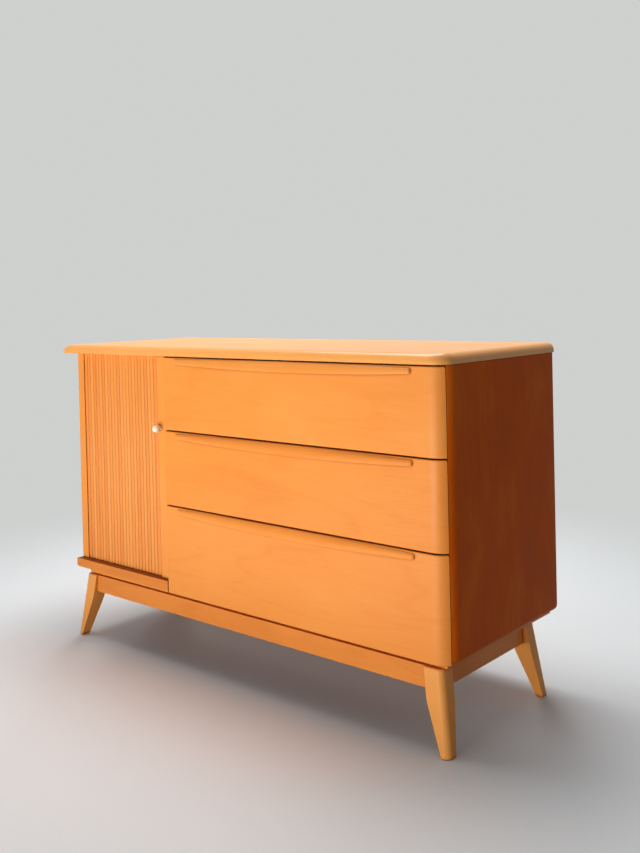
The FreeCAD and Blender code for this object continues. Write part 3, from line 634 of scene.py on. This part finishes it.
@dataclass(frozen=True)
class Steel:
    """Plain steel that has dulled."""

    bright: Colour = (0.52, 0.51, 0.49)
    dull: Colour = (0.27, 0.25, 0.22)
    patch_scale: float = 420.0
    patch_detail: float = 4.0
    dull_range: Range = (0.35, 0.7)
    worn_range: Range = (0.3, 0.7)
    roughness: Range = (0.28, 0.5)
    mark_stretch: Point = (1.0, 1.0, 6.0)
    mark_scale: float = 900.0
    relief: float = 0.03 * MILLIMETRE

    def material(self) -> bpy.types.Material:
        """Make the metal with dull patches and turning marks.

        Returns:
            The material.
        """
        graph = ShaderGraph("dulled_steel")
        patch = graph.noise(graph.place, self.patch_scale, self.patch_detail)
        graph.set(
            Base_Color=graph.tint(graph.ease(patch, *self.dull_range), self.bright, self.dull),
            Roughness=graph.ease(patch, *self.worn_range, *self.roughness),
            Metallic=1.0,
        )
        graph.relief(graph.noise(graph.mapped(graph.place, self.mark_stretch), self.mark_scale), self.relief)
        return graph.material


def new_object(name: str, mesh: bpy.types.Mesh) -> bpy.types.Object:
    """Put a mesh into the scene as an object at the origin.

    Args:
        name: The object's name.
        mesh: Its mesh.

    Returns:
        The object.
    """
    made = bpy.data.objects.new(name, mesh)
    bpy.context.scene.collection.objects.link(made)
    return made


def finish_mesh(name: str, shape: bmesh.types.BMesh) -> bpy.types.Mesh:
    """Merge doubles, turn faces outwards and shade smooth between sharp edges.

    Args:
        name: The mesh's name.
        shape: The shape, which is freed.

    Returns:
        The finished mesh.
    """
    bmesh.ops.remove_doubles(shape, verts=shape.verts, dist=MERGE_DISTANCE)
    bmesh.ops.recalc_face_normals(shape, faces=shape.faces)
    mesh = bpy.data.meshes.new(name)
    shape.to_mesh(mesh)
    shape.free()
    mesh.shade_smooth()
    mesh.set_sharp_from_angle(angle=SMOOTH_ANGLE)
    return mesh


def ring(radius: float, height: float, count: int) -> list[Point]:
    """Lay points evenly on a level circle about the Z axis."""
    angles = [2 * math.pi * step / count for step in range(count)]
    return [(radius * math.cos(angle), radius * math.sin(angle), height) for angle in angles]


def wall(shape: bmesh.types.BMesh, lower: Ring, upper: Ring) -> None:
    """Join two rings of as many vertices by faces."""
    for turn, vertex in enumerate(lower):
        shape.faces.new((lower[turn - 1], vertex, upper[turn], upper[turn - 1]))


def loft(shape: bmesh.types.BMesh, outline: list[Point], top_outline: list[Point]) -> None:
    """Add a closed solid between two outlines to a shape.

    Args:
        shape: The shape that takes the solid.
        outline: The corners of its base, in one plane.
        top_outline: As many corners of its top.
    """
    base = [shape.verts.new(corner) for corner in outline]
    top = [shape.verts.new(corner) for corner in top_outline]
    shape.faces.new(reversed(base))
    shape.faces.new(top)
    wall(shape, base, top)


def raised(outline: list[Point], rise: float) -> list[Point]:
    """Copy an outline higher up."""
    return [(x, y, z + rise) for x, y, z in outline]


def dress(piece: bpy.types.Object, material: bpy.types.Material) -> None:
    """Give a piece one material."""
    piece.data.materials.clear()
    piece.data.materials.append(material)


class Scatter:
    """A Geometry Nodes tree that stands copies of a template on points and makes them one mesh."""

    TONE = "slat_tone"

    def __init__(self, name: str) -> None:
        """Build the tree's named inputs.

        Args:
            name: The tree's name.
        """
        self.tree = bpy.data.node_groups.new(name, "GeometryNodeTree")
        self.graph = NodeGraph(self.tree)
        kinds = {
            "Geometry": "NodeSocketGeometry",
            "Template": "NodeSocketObject",
            "Count": "NodeSocketInt",
            "Turn": "NodeSocketVector",
            "Seed": "NodeSocketInt",
            "Finish": "NodeSocketMaterial",
        }
        for label, kind in kinds.items():
            self.tree.interface.new_socket(label, in_out="INPUT", socket_type=kind)
        self.tree.interface.new_socket("Geometry", in_out="OUTPUT", socket_type="NodeSocketGeometry")
        self.given = self.graph.add("NodeGroupInput").outputs

    def finish(self, points: Socket, rotation: Socket) -> None:
        """Stand the template on points, give each copy a tone and end the tree.

        Args:
            points: The points.
            rotation: Each copy's rotation.
        """
        add = self.graph.add
        template = add("GeometryNodeObjectInfo", {"Object": self.given["Template"]}).outputs["Geometry"]
        standing = {"Points": points, "Instance": template, "Rotation": rotation}
        copies = add("GeometryNodeInstanceOnPoints", standing).outputs["Instances"]
        chance = add("FunctionNodeRandomValue", {"Seed": self.given["Seed"]}, data_type="FLOAT")
        toned = add(
            "GeometryNodeStoreNamedAttribute",
            {"Geometry": copies, "Name": self.TONE, "Value": open_socket(chance.outputs, "Value")},
            data_type="FLOAT",
            domain="INSTANCE",
        )
        real = add("GeometryNodeRealizeInstances", {"Geometry": toned.outputs["Geometry"]})
        inputs = {"Geometry": real.outputs["Geometry"], "Material": self.given["Finish"]}
        finished = add("GeometryNodeSetMaterial", inputs)
        add("NodeGroupOutput", {"Geometry": finished.outputs["Geometry"]})

    @classmethod
    def along_path(cls, name: str) -> "Scatter":
        """Make a tree whose copies stand evenly along the given path, turned to follow it.

        Args:
            name: The tree's name.

        Returns:
            The tree.
        """
        scatter = cls(name)
        add = scatter.graph.add
        path = add("GeometryNodeMeshToCurve", {"Mesh": scatter.given["Geometry"]}).outputs["Curve"]
        inputs = {"Curve": path, "Count": scatter.given["Count"]}
        points = add("GeometryNodeCurveToPoints", inputs, mode="COUNT").outputs
        inputs = {"Vector": points["Tangent"]}
        turned = add("FunctionNodeAlignRotationToVector", inputs, axis="X", pivot_axis="Z")
        scatter.finish(points["Points"], turned.outputs["Rotation"])
        return scatter

    @classmethod
    def on_points(cls, name: str) -> "Scatter":
        """Make a tree whose copies stand on the given points, all turned alike.

        Args:
            name: The tree's name.

        Returns:
            The tree.
        """
        scatter = cls(name)
        points = scatter.graph.add("GeometryNodeMeshToPoints", {"Mesh": scatter.given["Geometry"]})
        scatter.finish(points.outputs["Points"], scatter.given["Turn"])
        return scatter

    def grow(
        self,
        name: str,
        places: list[Point],
        template: bpy.types.Object,
        material: bpy.types.Material,
        count: int = 0,
        turn: Point = (0, 0, 0),
        seed: int = 7,
    ) -> bpy.types.Object:
        """Run the tree on places and keep the result as a plain mesh.

        Args:
            name: The new piece's name.
            places: The path's points or the copies' places.
            template: What is copied.
            material: The copies' material.
            count: How many copies stand along a path.
            turn: The rotation of copies that stand on points.
            seed: Fixes the random tones.

        Returns:
            The piece, with no modifier left on it.
        """
        path = bpy.data.meshes.new(f"{name}_places")
        path.from_pydata(places, [(step, step + 1) for step in range(len(places) - 1)], [])
        piece = new_object(name, path)
        modifier = piece.modifiers.new(name, "NODES")
        modifier.node_group = self.tree
        values = {"Template": template, "Count": count, "Turn": turn, "Seed": seed, "Finish": material}
        for item in self.tree.interface.items_tree:
            if item.in_out == "INPUT" and item.name in values:
                modifier[item.identifier] = values[item.name]
        evaluated = piece.evaluated_get(bpy.context.evaluated_depsgraph_get())
        mesh = bpy.data.meshes.new_from_object(evaluated)
        piece.modifiers.remove(modifier)
        piece.data = mesh
        mesh.name = name
        bpy.data.meshes.remove(path)
        return piece


@dataclass
class BoardSet:
    """CAD boards of one sub-assembly that share a wood, each with its grain and tone."""

    wood: WoodFinish
    boards: dict[str, tuple[Grain, float]]
    first_number: int

    def dress(self, frame: dict) -> None:
        """Give each board its own stretch of the wood.

        Args:
            frame: The loaded frame.
        """
        for number, (name, (grain, tone)) in enumerate(self.boards.items(), self.first_number):
            dress(frame["nodes"][name], self.wood.material(name, grain, number, tone))
            log.info("%s: %s, grain %s", name, self.wood.name, grain.name.lower())


@dataclass
class Assembly:
    """A sub-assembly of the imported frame, dressed by its build method."""

    frame: dict


@dataclass
class CaseBoards(Assembly):
    """Top, sides, bottom, sill, partition, back, liner and shelf."""

    sets: tuple[BoardSet, ...] = (
        # The top board's tone of 0.4 is painted light: the top is paler where light falls on it.
        BoardSet(TOP_MAPLE, {"top_board": (Grain.ALONG_X, 0.4)}, 1),
        BoardSet(PANEL_MAPLE, {"left_side_panel": (Grain.ALONG_Z, 0.1)}, 2),
        BoardSet(MAPLE, {"bottom_board": (Grain.ALONG_X, -0.06)}, 3),
        # The sill's tone of -0.2 is painted shade; its finish also paints shade on its upper face.
        BoardSet(SHADED_SILL_MAPLE, {"sill_board": (Grain.ALONG_X, -0.2)}, 4),
        # The right side panel takes painted shade from its darker finish.
        BoardSet(SHADED_SIDE_MAPLE, {"right_side_panel": (Grain.ALONG_Z, 0.0)}, 7),
        BoardSet(INNER_WOOD, {"partition": (Grain.ALONG_Z, 0.0), "shelf": (Grain.ALONG_X, 0.05)}, 8),
        BoardSet(PLYWOOD, {"back_panel": (Grain.ALONG_X, 0.0), "bay_liner": (Grain.ALONG_Z, 0.08)}, 12),
    )

    def build(self) -> None:
        """Finish the case's boards and the shelf's pins."""
        for boards in self.sets:
            boards.dress(self.frame)
        dress(self.frame["nodes"]["shelf_pins"], Steel().material())


@dataclass
class DrawerBank(Assembly):
    """Three drawers with what carries them."""

    drawers: tuple[str, ...] = ("drawer_1", "drawer_2", "drawer_3")
    front_tones: tuple[float, ...] = (0.06, 0.0, 0.03)
    first_number: int = 20
    number_step: int = 10
    bottom_number: int = 8

    def build(self) -> None:
        """Finish fronts, boxes, rails and runners."""
        for place, (drawer, tone) in enumerate(zip(self.drawers, self.front_tones)):
            number = self.first_number + self.number_step * place
            BoardSet(MAPLE, {f"{drawer}_front": (Grain.ALONG_X, tone)}, number).dress(self.frame)
            bare = {
                f"{drawer}_left_side": (Grain.ALONG_Y, 0.06),
                f"{drawer}_right_side": (Grain.ALONG_Y, 0.0),
                f"{drawer}_back": (Grain.ALONG_X, -0.04),
                f"{drawer}_rail": (Grain.ALONG_X, -0.08),
                f"{drawer}_left_runner": (Grain.ALONG_Y, -0.1),
                f"{drawer}_right_runner": (Grain.ALONG_Y, -0.05),
            }
            BoardSet(INNER_WOOD, bare, number + 1).dress(self.frame)
            bottom = {f"{drawer}_bottom": (Grain.ALONG_X, 0.15)}
            BoardSet(PLYWOOD, bottom, number + self.bottom_number).dress(self.frame)


@dataclass
class Base(Assembly):
    """Legs, rails and the blocks in their corners."""

    corners: tuple[str, ...] = ("front_left", "front_right", "rear_left", "rear_right")
    leg_tone: float = 0.28
    rail_tone: float = -0.1
    block_tone: float = -0.1
    first_number: int = 60
    first_block_number: int = 70

    def build(self) -> None:
        """Finish legs, rails and corner blocks."""
        legs = {f"{corner}_leg": (Grain.ALONG_Z, self.leg_tone) for corner in self.corners}
        long_rails = {f"{side}_rail": (Grain.ALONG_X, self.rail_tone) for side in ("front", "rear")}
        short_rails = {f"{side}_rail": (Grain.ALONG_Y, self.rail_tone) for side in ("left", "right")}
        BoardSet(MAPLE, legs | long_rails | short_rails, self.first_number).dress(self.frame)
        blocks = {f"{corner}_corner_block": (Grain.ALONG_X, self.block_tone) for corner in self.corners}
        BoardSet(INNER_WOOD, blocks, self.first_block_number).dress(self.frame)


@dataclass
class TambourCurtain(Assembly):
    """Lead stile, slats on their canvas, and the knob."""

    joint: str = "tambour_slide"
    stile_tone: float = 0.12
    stile_number: int = 85
    slat_tone: float = 0.04
    slat_number: int = 80
    slat_spacing: float = 12.53 * MILLIMETRE
    slat_gap: float = 0.5 * MILLIMETRE
    slat_thickness: float = 6.4 * MILLIMETRE
    slat_crown: float = 2.5 * MILLIMETRE
    slat_end_gap: float = 0.3 * MILLIMETRE
    slat_count: int = 27
    crown_steps: int = 10
    turn_radius: float = 4.0 * MILLIMETRE
    path_steps: int = 120
    canvas_thickness: float = 0.8 * MILLIMETRE
    canvas_lap: float = 4.0 * MILLIMETRE
    knob_neck: float = 0.42
    knob_foot: float = 0.62
    knob_rises: Point = (0.08, 0.14, 0.22)
    knob_arc_steps: int = 24
    knob_turns: int = 48

    def measure(self) -> None:
        """Take the curtain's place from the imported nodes."""
        stile_low, stile_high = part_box("lead_stile")
        slats_low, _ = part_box("tambour_slats")
        self.canvas_low, self.canvas_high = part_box("tambour_canvas")
        self.slat_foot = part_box("sill_board")[1].z + self.slat_end_gap
        self.slat_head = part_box("top_board")[0].z - self.slat_end_gap
        self.slat_back = stile_high.y
        self.slats_end = slats_low.x
        self.stile_edge = stile_low.x
        self.straight = self.stile_edge - self.slats_end - self.turn_radius - self.slat_thickness
        self.quarter = self.turn_radius * math.pi / 2
        joints = {joint["name"]: joint for joint in self.frame["joints"]}
        self.travel = joints[self.joint]["range_m"][1]

    def path_point(self, run: float) -> Point:
        """Find a point on the slats' backs.

        Args:
            run: How far along the curtain it lies from the stile's edge.

        Returns:
            The point, at the slats' lower ends.
        """
        angle = min(max(run - self.straight, 0.0), self.quarter) / self.turn_radius
        past = max(run - self.straight - self.quarter, 0.0)
        x = self.stile_edge - min(run, self.straight) - self.turn_radius * math.sin(angle)
        y = self.slat_back + self.turn_radius * (1.0 - math.cos(angle)) + past
        return (x, y, self.slat_foot)

    def slat_template(self) -> bpy.types.Object:
        """Make one slat at the origin, with a flat back and a crowned face.

        Returns:
            The slat.
        """
        half = (self.slat_spacing - self.slat_gap) / 2
        outline = [(half, 0.0, 0.0), (-half, 0.0, 0.0)]
        for side in even_steps(-1.0, 1.0, self.crown_steps):
            outline.append((side * half, self.slat_crown * side * side - self.slat_thickness, 0.0))
        shape = bmesh.new()
        loft(shape, outline, raised(outline, self.slat_head - self.slat_foot))
        return new_object("slat_template", finish_mesh("slat_template", shape))

    def build_slats(self) -> None:
        """Stand the slats along the curtain's path, the first one apart from the rest."""
        template = self.slat_template()
        scatter = Scatter.along_path("curtain_slats")
        material = SLAT_MAPLE.material(
            "slats", Grain.ALONG_Z, self.slat_number, self.slat_tone, Scatter.TONE
        )
        lead_middle = 0.5 * self.slat_spacing
        lead_path = [self.path_point(lead_middle), self.path_point(0.0)]
        lead = scatter.grow("lead_slat", lead_path, template, material, 1)
        first = lead_middle + self.slat_spacing
        last = (self.slat_count - 0.5) * self.slat_spacing
        path = [self.path_point(run) for run in even_steps(last, first, self.path_steps)]
        rest = scatter.grow("curtain_slats", path, template, material, self.slat_count - 1)
        bpy.data.objects.remove(template)
        for piece in (lead, rest):
            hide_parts("tambour_slats")
            self.carry(piece, Slot.MAPLE)
        self.gather(rest, self.stile_edge - self.slat_spacing, self.slats_end)

    def build_canvas(self) -> None:
        """Glue the canvas behind the slats, lapped onto the stile."""
        low, high = self.canvas_low, self.canvas_high
        end = self.straight + self.quarter + high.y - self.slat_back - self.turn_radius
        shape = bmesh.new()
        rows = []
        for run in even_steps(end, -self.canvas_lap, self.path_steps):
            x, y, _ = self.path_point(run)
            rows.append([shape.verts.new((x, y, z)) for z in (low.z, high.z)])
        for (lower, upper), (next_lower, next_upper) in zip(rows, rows[1:]):
            shape.faces.new((lower, next_lower, next_upper, upper))
        cloth = new_object("canvas_backing", finish_mesh("canvas_backing", shape))
        thicken = cloth.modifiers.new("thickness", "SOLIDIFY")
        thicken.thickness = self.canvas_thickness
        thicken.offset = -1.0
        dress(cloth, CanvasCloth().material())
        evaluated = cloth.evaluated_get(bpy.context.evaluated_depsgraph_get())
        cloth.data = bpy.data.meshes.new_from_object(evaluated)
        cloth.modifiers.remove(thicken)
        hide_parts("tambour_canvas")
        self.carry(cloth, Slot.CANVAS)
        self.gather(cloth, self.stile_edge, low.x)

    def knob_profile(self, radius: float, reach: float) -> list[tuple[float, float]]:
        """Draw half of the knob's section.

        Args:
            radius: The ball's radius.
            reach: From the knob's foot to the front of its ball.

        Returns:
            Each point's distance from the axis and from the foot.
        """
        neck, foot = self.knob_neck * radius, self.knob_foot * radius
        heights = [share * reach for share in self.knob_rises]
        profile = [(0.0, 0.0), (foot, 0.0), *zip((foot, (foot + neck) / 2, neck), heights)]
        for angle in even_steps(math.asin(neck / radius), math.pi, self.knob_arc_steps):
            profile.append((radius * math.sin(angle), reach - radius - radius * math.cos(angle)))
        return profile

    def build_knob(self) -> None:
        """Turn the knob: a flared foot, a thin neck and a ball."""
        low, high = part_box("door_knob")
        foot = Vector(((low.x + high.x) / 2, high.y, (low.z + high.z) / 2))
        shape = bmesh.new()
        rings = []
        for away, out in self.knob_profile((high.x - low.x) / 2, high.y - low.y):
            circle = ring(away, 0.0, self.knob_turns)
            rings.append([shape.verts.new(foot + Vector((x, -out, z))) for x, z, _ in circle])
        for inner, outer in zip(rings, rings[1:]):
            wall(shape, inner, outer)
        knob = new_object("turned_knob", finish_mesh("turned_knob", shape))
        dress(knob, Ivory().material())
        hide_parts("door_knob")
        self.carry(knob, Slot.IVORY)

    def carry(self, piece: bpy.types.Object, slot: Slot) -> None:
        """Let a piece ride with the curtain and log its faces.

        Args:
            piece: The piece.
            slot: Not used.
        """
        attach(piece, Body.TAMBOUR.value)
        log.info("%s: %d faces", piece.name, len(piece.data.polygons))

    def gather(self, piece: bpy.types.Object, start: float, end: float) -> None:
        """Give a piece its own copy of its mesh."""
        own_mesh(piece)

    def build(self) -> None:
        """Make the curtain's pieces and finish its stile."""
        self.measure()
        stile = {"lead_stile": (Grain.ALONG_Z, self.stile_tone)}
        BoardSet(MAPLE, stile, self.stile_number).dress(self.frame)
        self.build_slats()
        self.build_canvas()
        self.build_knob()


@dataclass
class Screws(Assembly):
    """Slotted screws of the base, the back and the knob."""

    head_height: float = 0.3
    shank_width: float = 0.5
    solid_share: float = 0.6
    slot_share: float = 0.2
    crown_share: float = 0.86
    arc_steps: int = 12

    def boxes(self, node: bpy.types.Object) -> list[tuple[Vector, Vector]]:
        """Find the corners of each separate screw in a CAD node.

        Args:
            node: The node's object.

        Returns:
            The lowest and highest corner of each screw.
        """
        shape = bmesh.new()
        shape.from_mesh(node.data)
        bmesh.ops.remove_doubles(shape, verts=shape.verts, dist=MERGE_DISTANCE)
        left = set(shape.verts)
        found = []
        while left:
            island = [left.pop()]
            for vertex in island:
                near = {edge.other_vert(vertex) for edge in vertex.link_edges} & left
                left -= near
                island.extend(near)
            sides = [[vertex.co[axis] for vertex in island] for axis in range(3)]
            found.append((Vector(map(min, sides)), Vector(map(max, sides))))
        shape.free()
        return sorted(found, key=lambda box: tuple(box[0]))

    def template(self, width: float, length: float) -> bpy.types.Object:
        """Make one screw at the origin, its head below and its shank up along Z.

        Args:
            width: The head's width.
            length: The whole length.

        Returns:
            The screw.
        """
        radius = width / 2
        head = self.head_height * width
        slot_floor = (1 - self.solid_share) * head
        half_slot = self.slot_share * radius
        edge = math.asin(half_slot / radius)
        shape = bmesh.new()
        disc = ring(radius, slot_floor, 2 * self.arc_steps)
        loft(shape, disc, raised(disc, head - slot_floor))
        for side in (1, -1):
            arc = even_steps(edge, math.pi - edge, self.arc_steps)
            land = [(radius * math.cos(angle), side * radius * math.sin(angle), 0.0) for angle in arc]
            centre = Vector((0.0, side * half_slot, 0.0))
            crown = [tuple(centre + (Vector(corner) - centre) * self.crown_share) for corner in land]
            loft(shape, crown, raised(land, slot_floor))
        shank = ring(self.shank_width * radius, head, 2 * self.arc_steps)
        loft(shape, shank, raised(shank, length - head))
        return new_object("screw_template", finish_mesh("screw_template", shape))

    def build(self) -> None:
        """Replace each set of CAD screws by slotted ones."""
        material = Steel().material()
        upright, inward = (0.0, 0.0, 0.0), (math.pi / 2, 0.0, 0.0)
        sets = (
            ("base_screws", "slotted_base_screws", upright, Body.CASE),
            ("back_screws", "slotted_back_screws", inward, Body.CASE),
            ("knob_screw", "slotted_knob_screw", inward, Body.TAMBOUR),
        )
        scatter = Scatter.on_points("slotted_screws")
        for node, name, turn, body in sets:
            boxes = self.boxes(self.frame["nodes"][node])
            size = boxes[0][1] - boxes[0][0]
            template = self.template(size.x, size.z if turn == upright else size.y)
            places = []
            for low, high in boxes:
                x, y, z = (low + high) / 2
                places.append((x, y, low.z) if turn == upright else (x, high.y, z))
            piece = scatter.grow(name, places, template, material, turn=turn)
            bpy.data.objects.remove(template)
            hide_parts(node)
            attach(piece, body.value)
            log.info("%s: %d screws", name, len(places))


@dataclass(frozen=True)
class SoftBox:
    """A soft rectangular light that points at the credenza."""

    name: str
    place: Point
    aim: Point
    width: float
    height: float
    watts: float
    colour: Colour = (1.0, 1.0, 1.0)
    in_gloss: bool = True

    def build(self) -> None:
        """Hang the light."""
        lamp = bpy.data.lights.new(self.name, "AREA")
        lamp.shape = "RECTANGLE"
        lamp.size = self.width
        lamp.size_y = self.height
        lamp.energy = self.watts
        lamp.color = self.colour
        light = bpy.data.objects.new(self.name, lamp)
        light.visible_glossy = self.in_gloss
        light.location = self.place
        light.rotation_euler = (Vector(self.aim) - Vector(self.place)).to_track_quat("-Z", "Y").to_euler()
        bpy.context.scene.collection.objects.link(light)


@dataclass
class Studio:
    """Pale floor, soft light and the photograph's camera."""

    eye: Point = (1.6506, -1.7794, 0.8959)
    yaw: float = math.radians(40.65)
    pitch: float = math.radians(-0.88)
    roll: float = math.radians(-1.32)
    focal_pixels: float = 971.6
    frame_height: float = 853.0
    centre_row: float = 312.7
    sensor: float = 36.0
    floor_reach: float = 14.0
    floor_tone: Colour = (0.80, 0.83, 0.85)
    floor_bounce: Colour = (0.30, 0.29, 0.27)
    floor_mottle: float = 0.97
    mottle_scale: float = 2.5
    mottle_detail: float = 4.0
    floor_roughness: float = 0.9
    floor_fade: Range = (0.9, 2.1)
    backdrop: Colour = (0.62, 0.63, 0.62)
    ambient: float = 0.18
    lights: tuple[SoftBox, ...] = (
        SoftBox("front_key", (0.3, -2.5, 0.12), (0.05, -0.2, 0.45), 1.6, 0.2, 30.0, WARM_WHITE),
        SoftBox("floor_glow", (-0.25, -1.6, 0.02), (-0.25, -1.6, 1.0), 2.0, 1.7, 28.0, WARM_WHITE),
        SoftBox("overhead", (-0.4, 0.4, 2.9), (-0.3, 0.3, 0.78), 2.0, 1.6, 72.0),
        SoftBox("back_fill", (-2.6, 3.2, 1.3), (-0.2, 0.2, 0.45), 1.8, 1.2, 54.0, in_gloss=False),
    )

    def build_camera(self) -> None:
        """Set the camera where the photograph was taken."""
        level = math.cos(self.pitch)
        forward = Vector((-math.sin(self.yaw) * level, math.cos(self.yaw) * level, math.sin(self.pitch)))
        right = Vector((math.cos(self.yaw), math.sin(self.yaw), 0.0))
        up = right.cross(forward)
        across = math.cos(self.roll) * right + math.sin(self.roll) * up
        rise = math.cos(self.roll) * up - math.sin(self.roll) * right
        lens = bpy.data.cameras.new("camera")
        lens.sensor_width = self.sensor
        lens.lens = self.focal_pixels * self.sensor / self.frame_height
        lens.shift_y = (self.centre_row - self.frame_height / 2) / self.frame_height
        camera = bpy.data.objects.new("camera", lens)
        turn = Matrix((across, rise, -forward)).transposed()
        camera.matrix_world = Matrix.Translation(self.eye) @ turn.to_4x4()
        bpy.context.scene.collection.objects.link(camera)
        bpy.context.scene.camera = camera

    def build_floor(self) -> None:
        """Lay a plain pale floor that keeps the shadow and fades into the backdrop."""
        reach = self.floor_reach
        corners = ((-reach, -reach), (reach, -reach), (reach, reach), (-reach, reach))
        shape = bmesh.new()
        shape.faces.new([shape.verts.new((x, y, 0.0)) for x, y in corners])
        floor = new_object("floor", finish_mesh("floor", shape))
        graph = ShaderGraph("pale_floor")
        seen = graph.seen()
        away = graph.add("ShaderNodeVectorMath", {"Vector": graph.place}, operation="LENGTH")
        fade = graph.math("MULTIPLY", graph.ease(away.outputs["Value"], *self.floor_fade), seen)
        mottle = graph.noise(graph.place, self.mottle_scale, self.mottle_detail)
        darker = tuple(self.floor_mottle * part for part in self.floor_tone)
        lit = graph.tint(seen, self.floor_bounce, graph.tint(mottle, darker, self.floor_tone))
        graph.set(
            Base_Color=graph.tint(fade, lit, (0.0, 0.0, 0.0)),
            Roughness=self.floor_roughness,
            Specular_IOR_Level=0.0,
            Emission_Color=(*self.backdrop, 1.0),
            Emission_Strength=fade,
        )
        dress(floor, graph.material)

    def build_world(self) -> None:
        """Light the room dimly, and show a pale backdrop."""
        world = bpy.data.worlds.new("room")
        world.use_nodes = True
        graph = NodeGraph(world.node_tree)
        room = graph.add("ShaderNodeBackground", {"Color": (*WARM_WHITE, 1.0), "Strength": self.ambient})
        backdrop = graph.add("ShaderNodeBackground", {"Color": (*self.backdrop, 1.0), "Strength": 1.0})
        mixed = graph.add("ShaderNodeMixShader", {"Fac": graph.seen()})
        graph.feed(mixed.inputs[1], room.outputs[0])
        graph.feed(mixed.inputs[2], backdrop.outputs[0])
        graph.add("ShaderNodeOutputWorld", {"Surface": mixed.outputs[0]})
        bpy.context.scene.world = world

    def build(self) -> None:
        """Set up camera, floor, room and lights."""
        bpy.context.scene.view_settings.view_transform = "Standard"
        self.build_camera()
        self.build_floor()
        self.build_world()
        for light in self.lights:
            light.build()


def main() -> None:
    """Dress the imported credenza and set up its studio."""
    logging.basicConfig(level=logging.INFO, format="%(name)s: %(message)s")
    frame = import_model()
    for assembly in (CaseBoards, DrawerBank, Base, TambourCurtain, Screws):
        assembly(frame).build()
    Studio().build()


if __name__ == "__main__":
    main()
